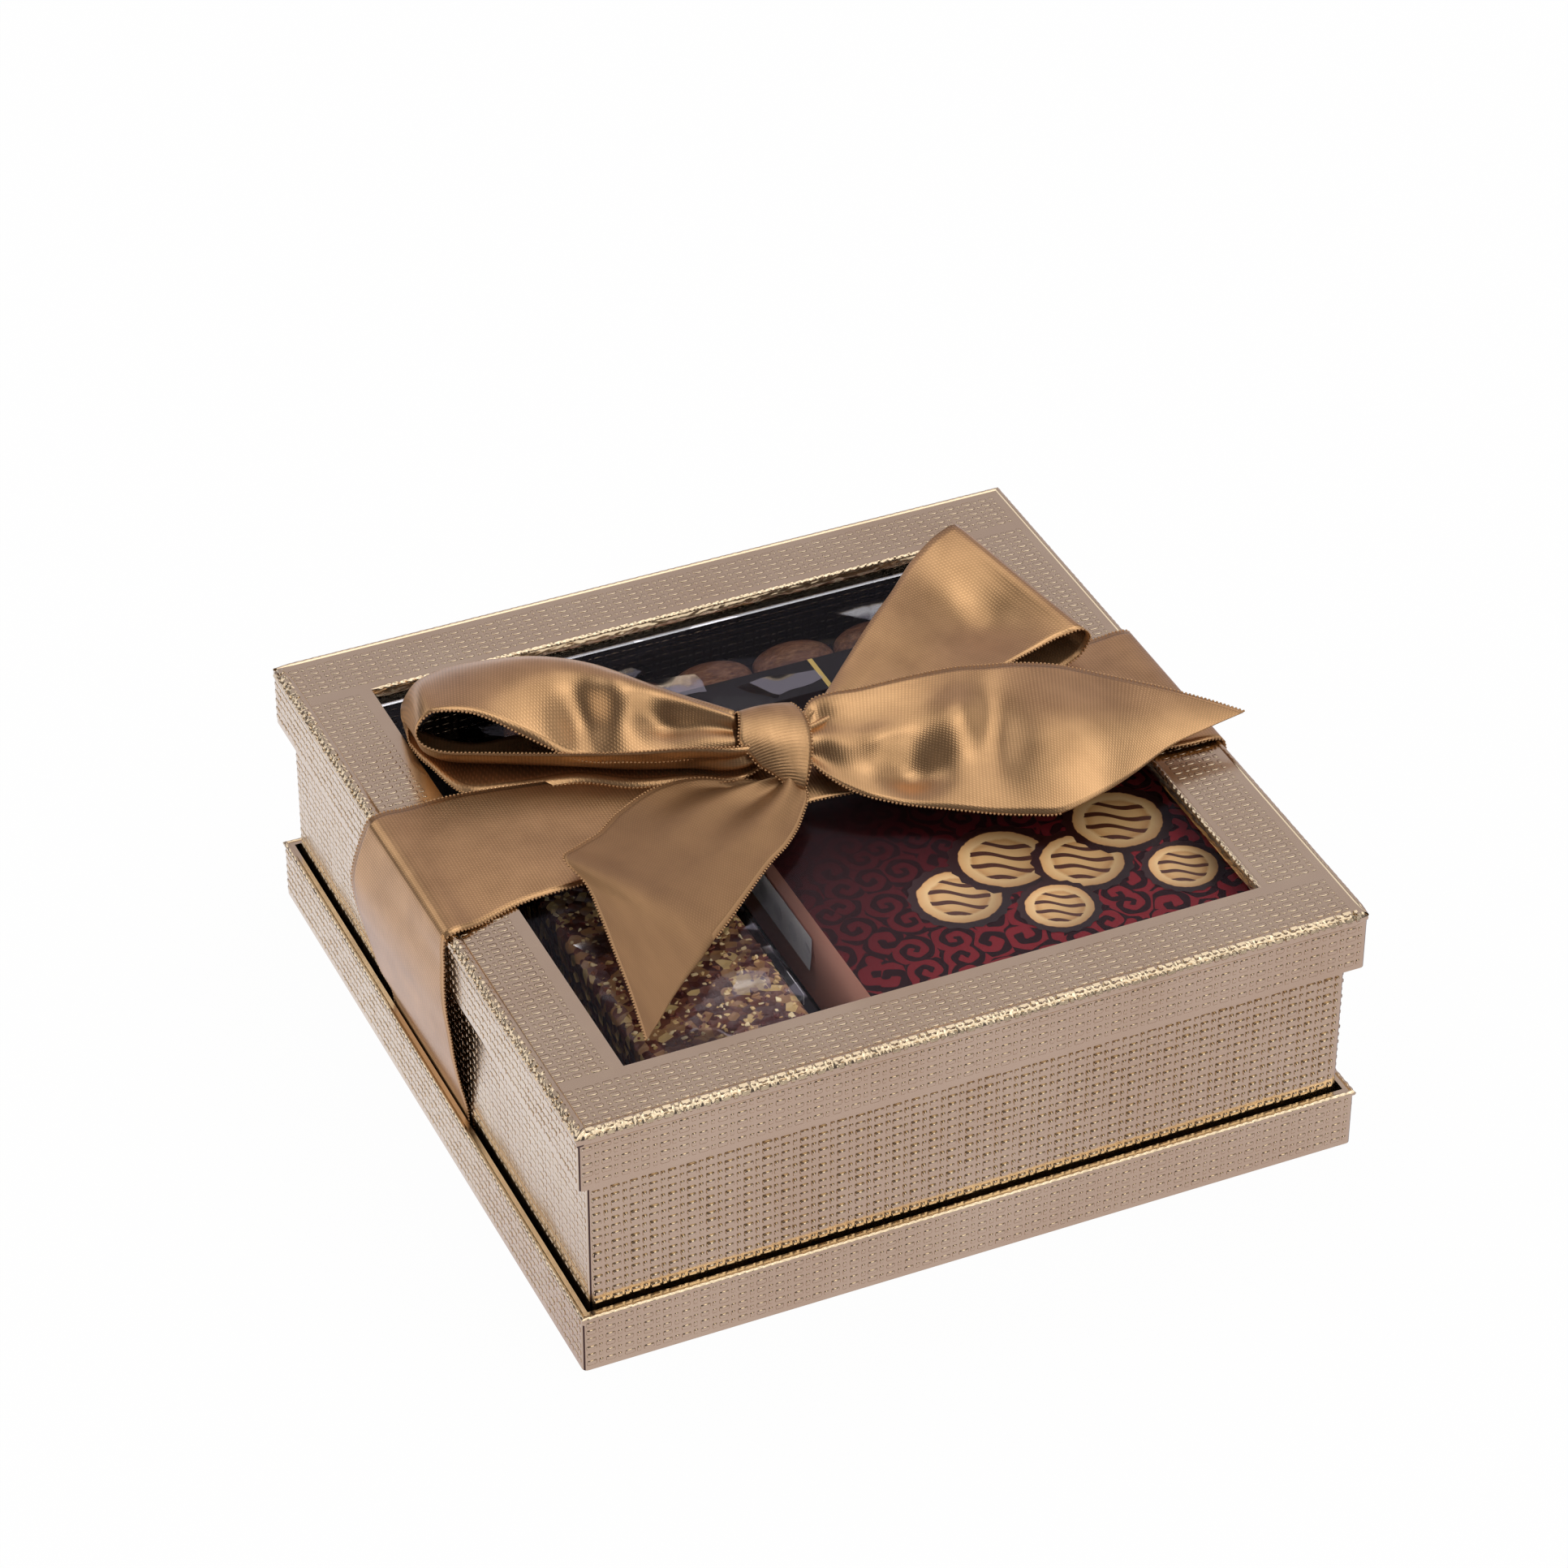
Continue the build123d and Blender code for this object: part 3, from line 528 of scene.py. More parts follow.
box_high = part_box("inner_box_wrap")[1]
tray_low, tray_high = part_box("tray_wrap")
over_tray, over_skirt_low, left_wall_share = 0.5 * mm, 1.5 * mm, 0.3
box_patches = four_sides(box_high.x, box_high.y, tray_high.z + over_tray, skirt_low + over_skirt_low,
                         wall_relief, trim=corner_margin, left_share=left_wall_share)
joined("inner_box_emboss", embossed(box_patches, box_foil, 300), box_foil, "base")
wall_thickness, inside_low, inside_relief = 2.1 * mm, 40 * mm, 0.1 * mm
inside_patches = four_sides(box_high.x - wall_thickness, box_high.y - wall_thickness, inside_low,
                            box_high.z - edge_margin, inside_relief, outwards=-1, trim=4 * mm)
joined("inner_wall_emboss", embossed(inside_patches, box_foil, 400), box_foil, "base")
tray_patches = four_sides(tray_high.x, tray_high.y, tray_low.z + corner_margin, tray_high.z - corner_margin,
                          skirt_relief, trim=corner_margin)
tray_meshes = embossed(tray_patches, tray_foil, 500)
tray_meshes.append(rolled_edge(tray_high.x, tray_high.y, tray_high.z, bead=0.5 * mm, relief=0.14 * mm,
                               seed=3))
joined("tray_emboss", tray_meshes, tray_foil, "base")


# Board, tapes and linings: greyboard shells with kraft stay tapes at their corners, under the foil, and
# black paper and card inside. They show only at the seams and when the lid is off.
fibre_shine, fibre_depth = 0.15, 0.06 * mm


def fibre_material(name, colour, other, grain, roughness):
    material, tree, shader = new_material(name)
    speck = wear_noise(tree, own_coords(tree), grain, 6.0, 0.7)
    plug(tree, shader, {"Base Color": ramp(tree, speck, [(0.35, colour), (0.65, other)]),
                        "Roughness": roughness, "Specular IOR Level": fibre_shine})
    surface_bump(tree, shader, (speck, fibre_depth))
    return material


card_blacks = ((0.010, 0.008, 0.009, 1), (0.016, 0.012, 0.013, 1))
greyboard = fibre_material("greyboard", (0.23, 0.21, 0.19, 1), (0.36, 0.34, 0.31, 1), 1.2 * mm, 0.85)
kraft_tape = fibre_material("kraft_tape", (0.42, 0.29, 0.17, 1), (0.52, 0.37, 0.23, 1), 2.0 * mm, 0.7)
black_paper = fibre_material("black_paper", (0.012, 0.010, 0.010, 1), (0.025, 0.021, 0.021, 1),
                             0.8 * mm, 0.6)
black_card = fibre_material("black_card", *card_blacks, 1.5 * mm, 0.5)
base_paper = fibre_material("base_paper", (0.60, 0.57, 0.53, 1), (0.70, 0.67, 0.63, 1), 1.5 * mm, 0.8)
dress(greyboard, "tray_board", "inner_box_board", "lid_board")
dress(kraft_tape, "tray_corner_tapes", "inner_box_corner_tapes", "lid_corner_tapes")
dress(black_paper, "inner_box_floor_paper")
dress(black_card, "raised_platform", "lid_liner")
dress(base_paper, "tray_underside_paper")


# Satin ribbon: a 50 mm double-weave polyester ribbon with picot-stitched edges, glossy on its face and
# duller on its back, laid across the lid, tucked behind the tray's rim and tied in a bow of two loops and
# two cut tails.
ribbon_width, ribbon_thickness = 50 * mm, 0.32 * mm
satin_light, satin_mid, satin_dark = (0.70, 0.422, 0.212, 1), (0.43, 0.25, 0.122, 1), (0.31, 0.177, 0.087, 1)
thread_pitch, rib_pitch, selvedge, groove_half = 0.78 * mm, 0.74 * mm, 1.1 * mm, 0.2 * mm


def satin_material(name, light, dark, roughness, metal, grain):
    material, tree, shader = new_material(name)
    laid = node(tree, "ShaderNodeUVMap", uv_map="laid").outputs["UV"]
    part = parts_of(tree, laid)
    cloud = wear_noise(tree, laid, 14 * mm)
    threads = sum_of(tree, "SINE", sum_of(tree, "MULTIPLY", part["X"], 2 * math.pi / thread_pitch))
    slant = sum_of(tree, "MULTIPLY_ADD", part["X"], 0.5, part["Y"])
    ribs = sum_of(tree, "SINE", sum_of(tree, "MULTIPLY", slant, 2 * math.pi / rib_pitch))
    weave = sum_of(tree, "MULTIPLY", sum_of(tree, "MULTIPLY_ADD", threads, 0.5, 0.5),
                   sum_of(tree, "MULTIPLY_ADD", ribs, 0.5, 0.5))
    from_edge = sum_of(tree, "MINIMUM", part["Y"], sum_of(tree, "SUBTRACT", ribbon_width, part["Y"]))
    at_edge = sum_of(tree, "LESS_THAN", from_edge, selvedge)
    # The weave also lightens and darkens the colour in dots. This is painted sheen standing in for the glints
    # on its threads, and its relief bumps the surface as well.
    tone = sum_of(tree, "MULTIPLY_ADD", weave, 0.3, sum_of(tree, "MULTIPLY", cloud, 0.5))
    base = ramp(tree, tone, [(0.15, dark), (0.5, light)])
    # Each edge band is lighter, with a darker line along its inner side.
    off_groove = sum_of(tree, "ABSOLUTE", sum_of(tree, "SUBTRACT", from_edge, selvedge))
    groove = sum_of(tree, "MULTIPLY", sum_of(tree, "LESS_THAN", off_groove, groove_half), 0.7)
    grooved = mixed(tree, groove, base, satin_dark)
    edged = mixed(tree, sum_of(tree, "MULTIPLY", at_edge, 0.5), grooved, satin_light)
    plug(tree, shader, {"Base Color": edged, "Roughness": roughness, "Metallic": metal,
                        "Specular IOR Level": 0.35})
    surface_bump(tree, shader, (weave, grain))
    return material


satin_face = satin_material("satin_face", satin_light, satin_mid, 0.32, 0.93, 0.022 * mm)
satin_back = satin_material("satin_back", satin_mid, satin_dark, 0.45, 0.8, 0.02 * mm)


# A strip's measures are in millimetres, as its rows are. A step between rows is the way of their middles, or
# this share of their near edges' way where that is longer.
row_spacing, near_edge_share, least_step = 1.3, 0.7, 0.5


def smooth_rows(rows):
    """Rows laid through the given ones at an even spacing, smoothly, and how far along each lies."""
    rows = np.array(rows, float)
    middle = (rows[:, 0:3] + rows[:, 3:6]) / 2
    reach = np.linalg.norm(np.diff(middle, axis=0), axis=1)
    reach = np.maximum(reach, np.linalg.norm(np.diff(rows[:, 0:3], axis=0), axis=1) * near_edge_share)
    stations = np.concatenate([[0], np.cumsum(np.maximum(reach, least_step))])
    slopes = np.gradient(rows, stations, axis=0)
    places = np.linspace(0, stations[-1], max(8, int(stations[-1] / row_spacing)))
    span = np.clip(np.searchsorted(stations, places, side="right") - 1, 0, len(stations) - 2)
    gap = (stations[span + 1] - stations[span])[:, None]
    t = ((places - stations[span])[:, None]) / gap
    a, b = rows[span], rows[span + 1]
    da, db = slopes[span] * gap, slopes[span + 1] * gap
    laid = (2 * t ** 3 - 3 * t ** 2 + 1) * a + (t ** 3 - 2 * t ** 2 + t) * da
    return laid + (3 * t ** 2 - 2 * t ** 3) * b + (t ** 3 - t ** 2) * db, places


# A far edge folded under has points at these shares of its fold. It bulges at the first one and lies lower
# from the second one on.
fold_parts, fold_bulge, fold_drop = (0.04, 0.12, 0.3, 0.5, 0.75, 1.0), 0.3, 0.9
picot_shift, bend_fullness = 0.25, 0.72
picot_lines = []


def satin_strip(name, rows, replaced, held, dents=(), pleats=None, across=26):
    """A ribbon laid through rows of: near edge, far edge (mm from the lid's middle, and over the lid), where
    across the width its bend stands and how high, the share of the width left at a slanting cut, and how
    much of the width is folded under at the far edge. A dent: how far along and where across it lies, how far
    it reaches both ways, and its depth. Pleats: how many, how deep, how far they reach, and their phase."""
    laid, places = smooth_rows(rows)
    near, far, share, lift = laid[:, 0:3], laid[:, 3:6], laid[:, 6], laid[:, 7]
    kept = np.clip(laid[:, 8], 0, 1)
    bend = near + (far - near) * share[:, None] + np.outer(lift, (0, 0, 1))
    t = np.linspace(0, 1, across)[None, :, None]
    inner_near = near + (bend - near) * bend_fullness
    inner_far = far + (bend - far) * bend_fullness
    surface = ((1 - t) ** 3 * near[:, None] + 3 * (1 - t) ** 2 * t * inner_near[:, None]
               + 3 * (1 - t) * t ** 2 * inner_far[:, None] + t ** 3 * far[:, None])
    along_way, across_way = np.gradient(surface, axis=0), np.gradient(surface, axis=1)
    normal = np.cross(along_way, across_way)
    normal /= np.maximum(np.linalg.norm(normal, axis=2, keepdims=True), 1e-9)
    spread = np.linspace(0, 1, across)[None, :]
    push = np.zeros(surface.shape[:2])
    for along_at, across_at, along_reach, across_reach, depth in dents:
        push += depth * np.exp(-((places[:, None] - along_at) / along_reach) ** 2
                               - ((spread - across_at) / across_reach) ** 2)
    if pleats:
        count, depth, fade, phase = pleats
        nearest = np.minimum(places, places[-1] - places) if held == "gathered" else places
        push += depth * np.exp(-(nearest / fade) ** 2)[:, None] * np.sin(2 * math.pi * count * spread + phase)
    surface = surface + normal * push[:, :, None]
    if laid.shape[1] > 9:
        inwards = (near - far) * (1, 1, 0)
        inwards /= np.linalg.norm(inwards, axis=1, keepdims=True)
        for order, part in enumerate(fold_parts):
            under = laid[:, 9:10] * part - (fold_bulge if order == 0 else 0)
            turned = far + inwards * under - (0, 0, fold_drop * min(1, part / fold_parts[1]))
            surface = np.concatenate([surface, turned[:, None]], axis=1)
        across = surface.shape[1]
        spread = np.linspace(0, 1, across)[None, :]
    points = surface.reshape(-1, 3) * mm + np.array((0, 0, lid_top))
    mesh = smooth_mesh(name, points.tolist(), grid_faces(len(places), across), satin_face, satin_back)
    laid_uv = mesh.uv_layers.new(name="laid")
    y_of = (1 - kept[:, None] + kept[:, None] * spread) * ribbon_width
    x_of = np.repeat((places * mm)[:, None], across, axis=1)
    both = np.stack([x_of.ravel(), y_of.ravel()], 1)
    corners = np.empty(len(mesh.loops), int)
    mesh.loops.foreach_get("vertex_index", corners)
    laid_uv.data.foreach_set("uv", both[corners].ravel())
    made = piece(name, mesh, "ribbon")
    cloth = made.modifiers.new("cloth_thickness", "SOLIDIFY")
    cloth.thickness, cloth.offset, cloth.material_offset = ribbon_thickness, 0, 1
    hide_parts(*replaced)
    uncut = kept > 0.995
    for line_at, beside in ((0, 1), (-1, -2)):
        outwards = surface[:, line_at] - surface[:, beside]
        outwards /= np.maximum(np.linalg.norm(outwards, axis=1, keepdims=True), 1e-6)
        stitched = surface[:, line_at] + picot_shift * outwards
        picot_lines.append(stitched[uncut] if line_at == 0 else stitched)


band_rows = (
    (-97.3, -22, -62.2, -97.3, 27, -62.2, 0.5, 0, 1),
    (-97.3, -21.8, -57, -97.3, 27, -57, 0.5, 0, 1),
    (-97.4, -21.8, -52.6, -97.4, 27.2, -52.6, 0.5, 0, 1),
    (-99, -21.7, -43.5, -100.5, 27.3, -43.5, 0.5, 0, 1),
    (-100.2, -21.7, -36, -102.3, 27.6, -36, 0.5, 0, 1),
    (-101, -21.7, -28, -104.2, 28, -28, 0.5, 0, 1),
    (-101.8, -21.6, -20.7, -105.7, 28.2, -20.7, 0.5, 0, 1),
    (-102, -21.5, -13, -106.1, 28.4, -13, 0.5, 0, 1),
    (-101.7, -21.3, -7, -104.6, 28.5, -7, 0.5, 0, 1),
    (-101.6, -21.2, -2.2, -102.5, 28.6, -1.5, 0.5, 0, 1),
    (-100.9, -21, 0.7, -101.1, 28.6, 1.2, 0.5, 0.2, 1),
    (-97.8, -20.8, 1.6, -97.8, 28.6, 2.1, 0.5, 0.6, 1),
    (-93, -19.6, 0.8, -93, 28.4, 2, 0.5, 1.2, 1),
    (-80.8, -15.8, 0.6, -80.8, 27.9, 2.4, 0.5, 1.2, 1),
    (-59, -14.3, 0.6, -59, 25.6, 1.6, 0.5, 1, 1),
    (-39.4, -11.8, 0.6, -39.4, 22.7, 0.8, 0.5, 2, 1),
    (-19.7, -8.9, 0.7, -19.7, 16.7, 0.8, 0.5, 2.6, 1),
    (-5, -7, 0.8, -5, 13, 0.8, 0.5, 2, 1),
    (10, -8, 0.8, 10, 14, 0.8, 0.5, 2, 1),
    (30, -13, 0.7, 30, 17, 0.7, 0.5, 2, 1),
    (54, -18, 0.8, 54, 21, 0.7, 0.5, 1.5, 1),
    (79, -22, 1.4, 79, 25, 0.7, 0.5, 1, 1),
    (93, -24.4, 1.6, 93, 26, 0.8, 0.5, 0.8, 1),
    (97.8, -24.6, 1.6, 97.8, 26, 1.2, 0.5, 0.4, 1),
    (100.8, -24.6, 0.5, 100.8, 26, 0.5, 0.5, 0, 1),
    (101.6, -24.6, -2.5, 101.5, 26, -2.5, 0.5, 0, 1),
    (102.4, -24.4, -13, 101.9, 26, -13, 0.5, 0, 1),
    (102.5, -24.2, -25, 102, 25.8, -25, 0.5, 0, 1),
    (101.4, -24, -36, 101, 25.7, -36, 0.5, 0, 1),
    (99.8, -23.8, -45, 99.6, 25.6, -45, 0.5, 0, 1),
    (97.4, -23.6, -52.6, 97.4, 25.6, -52.6, 0.5, 0, 1),
    (97.3, -23.5, -57, 97.3, 25.5, -57, 0.5, 0, 1),
    (97.3, -23.5, -62.2, 97.3, 25.5, -62.2, 0.5, 0, 1))
satin_strip("satin_band", band_rows, ("ribbon_band", "ribbon_drop_left", "ribbon_drop_right"),
            "stretched",
            dents=((122, 0.45, 26, 0.3, -0.8), (150, 0.7, 12, 0.2, 0.9)))

left_loop_rows = (
    (-6.5, 6, 11.5, -6, 9.5, 6, 0.2, -3, 1, 3),
    (-13.5, 5.4, 12.5, -12, 10, 5, 0.2, -7, 1, 6),
    (-26, 10.8, 12, -21, 22, 3, 0.1, -10, 1, 12),
    (-36.9, 15.3, 11, -31, 31, 2.4, 0.1, -11, 1, 18),
    (-49.8, 21.8, 10, -44, 41, 2.4, 0.1, -10.5, 1, 20),
    (-64.4, 29.8, 9, -57.5, 44.6, 2.4, 0.1, -9.5, 1, 22),
    (-72.3, 34.3, 8.5, -66.3, 45.4, 2.4, 0.15, -8.5, 1, 20),
    (-77.2, 36.7, 8.5, -71.5, 48.6, 2.4, 0.2, -8, 1, 16),
    (-80.7, 38.9, 9, -75, 52, 2.6, 0.25, -7, 1, 12),
    (-83, 41, 10.5, -78.6, 56.5, 3, 0.35, -5, 1, 10),
    (-83.7, 41.5, 13, -80, 61, 3.5, 0.5, 1, 1, 9),
    (-82.7, 41.7, 15.5, -78.5, 65.5, 4, 0.55, 6, 1, 8),
    (-80.6, 41.6, 17.5, -75.5, 69, 4, 0.6, 9, 1, 8),
    (-77.8, 40.6, 18.5, -66.9, 73.9, 3, 0.72, 9, 1, 5),
    (-70.7, 37.5, 18, -57.4, 72.2, 3, 0.75, 12.3, 1, 4),
    (-65.9, 33.7, 16.5, -51.1, 68.8, 3, 0.75, 16.5, 1, 4),
    (-61.1, 29.8, 14, -45.5, 64.8, 4, 0.75, 19.5, 1, 4),
    (-53.9, 24, 11, -39.2, 60.6, 5, 0.75, 20.6, 1, 4),
    (-46, 19.5, 9, -33, 53.6, 6, 0.75, 20.8, 1, 4),
    (-36, 15.5, 8, -24.8, 42.1, 7, 0.75, 17.9, 1, 6),
    (-26, 12, 8, -17.9, 32.2, 8, 0.75, 13.2, 1, 7),
    (-13, 9, 9, -10.5, 19.3, 11, 0.7, 5.3, 1, 5))
satin_strip("satin_loop_left", left_loop_rows, ("bow_loop_left",), "gathered",
            pleats=(2.5, 1.2, 20, 0.4),
            dents=((149, 0.36, 8, 0.16, 2.4), (139, 0.16, 7, 0.2, -4.4), (159, 0.22, 8, 0.16, -4.0),
                   (67, 0.5, 20, 0.3, -1.0)))

right_loop_rows = (
    (3, 4, 9, 2, 11, 11, 0.5, 1, 1, 3),
    (17, 5.5, 8.8, 11.1, 15.7, 12, 0.5, 1.5, 1, 3),
    (33, 6.5, 9, 22.3, 26, 13, 0.5, 0, 1, 2),
    (47, 9, 9.5, 34.2, 37.4, 14, 0.5, -3, 1, 1),
    (60, 13.5, 10, 45.3, 47.1, 15, 0.5, -4, 1, 1),
    (70, 16.2, 10.7, 56.3, 56.8, 16.5, 0.5, -3, 1, 1),
    (78, 17.3, 11.6, 65.8, 62.1, 18, 0.5, -1, 1, 1),
    (83, 17, 12, 70.2, 63.4, 18, 0.5, 0, 1, 1),
    (84.9, 17, 10, 72.6, 64, 15.5, 0.5, 0, 1, 1),
    (85.3, 18, 7, 73, 64, 12, 0.5, 0, 1, 1),
    (83.8, 18.2, 4.2, 71.5, 63.5, 9.5, 0.5, 0, 1, 2),
    (79, 16.5, 3, 66, 60, 7.5, 0.5, 0, 1, 4),
    (66, 12, 2.6, 55, 50, 6.5, 0.5, 0, 1, 10),
    (50, 8, 2.6, 42, 38, 5.5, 0.5, 0, 1, 14),
    (34, 5, 3, 28, 26, 5, 0.5, 0, 1, 16),
    (18, 3, 3.5, 14, 15, 5, 0.5, 0, 1, 11),
    (5, 2.5, 5, 3, 8, 6, 0.5, 0, 1, 4))
satin_strip("satin_loop_right", right_loop_rows, ("bow_loop_right",), "gathered",
            pleats=(2.5, 1.0, 18, 0.4),
            dents=((66, 0.42, 11, 0.28, -2.8), (46, 0.8, 16, 0.3, 1.2)))

right_tail_rows = (
    (1, 1.5, 7, 2, 8.5, 11.5, 0.5, 1, 1),
    (3.8, -4.4, 5, 8.2, 15, 12.5, 0.5, 2, 1),
    (6.4, -8.8, 4, 13.2, 14.3, 14, 0.5, 2, 1),
    (9.9, -13.5, 3.5, 20, 13, 14.5, 0.5, 1, 1),
    (14.7, -17.2, 3, 28.3, 12.3, 15, 0.5, 1, 1),
    (23.3, -22.7, 2.5, 41.5, 12.1, 14.5, 0.5, 2, 1),
    (33.3, -29, 2.2, 50.5, 11.1, 14, 0.5, 3, 1),
    (43.5, -34.8, 2, 59.2, 9.4, 13, 0.5, 3, 1),
    (50, -37.7, 2, 68.5, 4.9, 12.5, 0.5, 3, 1),
    (61.1, -37.1, 4, 78.4, -2.3, 11.5, 0.5, 2, 0.78),
    (72.3, -33.4, 5, 88.9, -10.1, 10.5, 0.5, 1.5, 0.56),
    (84.1, -29, 6.5, 94.2, -14.9, 10, 0.5, 1, 0.38),
    (95, -27, 7.3, 100.2, -20.1, 9, 0.5, 0.5, 0.2),
    (105.4, -25.6, 8, 105.6, -25.3, 8, 0.5, 0, 0.01))
satin_strip("satin_tail_right", right_tail_rows, ("bow_tail_right",), "draped",
            pleats=(2.0, 0.9, 13, 2.2),
            dents=((20, 0.5, 6, 0.14, 1.4), (28.5, 0.26, 9, 0.18, -4.6), (39, 0.62, 8, 0.2, 2.4),
                   (47, 0.5, 6, 0.36, -2.8), (66, 0.48, 15, 0.4, 3.4)))

front_tail_rows = (
    (-3, -3, 6, -10, 0, 4.5, 0.5, 1, 1),
    (-2.8, -7, 5, -16, 4, 3, 0.5, 1, 1),
    (-7.6, -14.6, 3.5, -24, 9, 2.8, 0.5, 1, 1),
    (-13.9, -21.6, 3, -34, 9.5, 3.2, 0.5, 1, 1),
    (-21.1, -27, 2.5, -46.5, 3.4, 4.2, 0.5, 1, 1),
    (-31.3, -35.9, 2, -56, -4.5, 5.6, 0.5, 1, 1),
    (-37.5, -41.5, 1.7, -62.2, -8, 6.5, 0.55, 2, 1),
    (-44.1, -47.3, 1.5, -67.5, -12.5, 7.6, 0.6, 3, 1),
    (-50, -52.8, 1.3, -65.6, -21, 5.8, 0.6, 2, 0.8),
    (-56.7, -58.6, 1.2, -66.6, -32, 4.8, 0.5, 1, 0.6),
    (-62, -63.6, 1.1, -68.2, -44, 3.5, 0.5, 0.5, 0.43),
    (-67, -68.8, 1, -70, -57, 2.3, 0.5, 0, 0.26),
    (-73.1, -74.9, 1, -73.2, -74.7, 1, 0.5, 0, 0.01))
satin_strip("satin_tail_front", front_tail_rows, ("bow_tail_front",), "draped",
            pleats=(2.5, 1.1, 26, 1.0))

knot_rows = (
    (-6, 15.5, 1.2, 2, 15, 1.2, 0.5, 0, 1),
    (-11, 18, 6, 4, 17.5, 6, 0.5, 0, 1),
    (-11, 18, 11.5, 3.4, 17, 11, 0.5, 0.6, 1),
    (-10.3, 15.9, 14.8, 2.8, 14.9, 14.2, 0.5, 1.2, 1),
    (-12, 11, 15, 3.8, 9.6, 14.4, 0.5, 1.8, 1),
    (-14, 6.2, 12.5, 3.2, 4.5, 13.4, 0.5, 2.2, 1),
    (-12.5, 3.5, 10.5, 2.2, 0.9, 11.6, 0.5, 2.4, 1),
    (-11.1, 1.7, 8.4, 0.4, -2.5, 9, 0.5, 2, 1),
    (-8, -1.5, 6.5, -1.8, -5.4, 6.4, 0.5, 1.4, 1),
    (-6, -4.2, 4.2, -3, -6.2, 3.9, 0.5, 0.6, 1),
    (-6.2, -3, 1.4, -4, -4.6, 1.4, 0.5, 0, 1))
satin_strip("satin_knot", knot_rows, ("bow_knot",), "folded", across=20)

picot_pitch, picot_size = 0.98 * mm, (0.74 * mm, 0.74 * mm, 0.5 * mm)
picot_tree = bpy.data.node_groups.new("picot_stitches", "GeometryNodeTree")
picot_tree.interface.new_socket("Edges", in_out="INPUT", socket_type="NodeSocketGeometry")
picot_ids = interface(picot_tree, Pitch="Float", Finish="Material")
given = picot_tree.nodes.new("NodeGroupInput").outputs
line = node(picot_tree, "GeometryNodeMeshToCurve", {"Mesh": given["Edges"]})
even = node(picot_tree, "GeometryNodeResampleCurve", {"Curve": line.outputs[0], "Length": given["Pitch"]},
            mode="LENGTH")
bead = node(picot_tree, "GeometryNodeMeshUVSphere", {"Segments": 6, "Rings": 4, "Radius": 0.5})
tangent = node(picot_tree, "GeometryNodeInputTangent")
lie = node(picot_tree, "FunctionNodeAlignRotationToVector", {"Vector": tangent.outputs[0]}, axis="X")
looped = node(picot_tree, "GeometryNodeInstanceOnPoints", {
    "Points": even.outputs[0], "Instance": bead.outputs["Mesh"], "Rotation": lie.outputs[0],
    "Scale": picot_size})
real = node(picot_tree, "GeometryNodeRealizeInstances", {"Geometry": looped.outputs[0]})
soft = node(picot_tree, "GeometryNodeSetShadeSmooth", {"Geometry": real.outputs[0]})
coated = node(picot_tree, "GeometryNodeSetMaterial",
              {"Geometry": soft.outputs[0], "Material": given["Finish"]})
picot_tree.links.new(coated.outputs[0], picot_tree.nodes.new("NodeGroupOutput").inputs[0])

picot_thread, tree, shader = new_material("picot_thread")
twist = wear_noise(tree, own_coords(tree), 0.4 * mm, 2.0)
plug(tree, shader, {"Base Color": ramp(tree, twist, [(0.3, satin_mid), (0.7, satin_light)]),
                    "Roughness": 0.4, "Metallic": 0.7})
surface_bump(tree, shader, (twist, 0.05 * mm))
edge_points, edge_pairs = [], []
for line_points in picot_lines:
    start = len(edge_points)
    edge_points += (line_points * mm + np.array((0, 0, lid_top))).tolist()
    edge_pairs += [(start + i, start + i + 1) for i in range(len(line_points) - 1)]
edges = bpy.data.meshes.new("ribbon_edges")
edges.from_pydata(edge_points, edge_pairs, [])
stitches = grown("picot", picot_tree, picot_ids, {"Pitch": picot_pitch, "Finish": picot_thread}, edges)
joined("picot_stitches", [stitches], picot_thread, "ribbon")


# Window film: clear film glued under the lid's frame, with one crease at its back, and the clear film of
# the packs inside. All of it is thin enough that it shows only by its highlights and creases.
def film_material(name, gloss_share, facet_gloss, facet_size, facet_tilt, tint):
    """Clear film whose flat facets lean a little each its own way, some of them catching the lights."""
    material = bpy.data.materials.new(name)
    material.use_nodes = True
    tree = material.node_tree
    tree.nodes.clear()
    coords = own_coords(tree)
    warp = node(tree, "ShaderNodeTexNoise",
                {"Vector": coords, "Scale": 1 / (2.5 * facet_size), "Detail": 2.0})
    pulled = vector_sum(tree, "MULTIPLY", warp.outputs["Color"], (facet_size,) * 3)
    bent = vector_sum(tree, "ADD", coords, pulled)
    long_way = node(tree, "ShaderNodeMapping", {"Vector": bent, "Scale": (0.45, 1.0, 1.0)}).outputs[0]
    facets = node(tree, "ShaderNodeTexVoronoi", {"Vector": long_way, "Scale": 1 / facet_size})
    from_seed = vector_sum(tree, "SUBTRACT", long_way, facets.outputs["Position"])
    lean = vector_sum(tree, "SUBTRACT", facets.outputs["Color"], (0.5, 0.5, 0.5))
    plane = vector_sum(tree, "DOT_PRODUCT", from_seed, lean)
    fold = node(tree, "ShaderNodeBump", {"Height": plane, "Distance": facet_tilt, "Strength": 1.0})
    pick = node(tree, "ShaderNodeSeparateColor", {0: facets.outputs["Color"]}).outputs[2]
    catching = map_range(tree, pick, 0.72, 0.95, gloss_share, facet_gloss)
    clear = node(tree, "ShaderNodeBsdfTransparent", {"Color": tint})
    gloss = node(tree, "ShaderNodeBsdfGlossy",
                 {"Color": (0.93, 0.93, 1, 1), "Roughness": 0.12, "Normal": fold.outputs[0]})
    whole = blend(tree, catching, clear, gloss)
    node(tree, "ShaderNodeOutputMaterial", {"Surface": whole.outputs[0]})
    return material


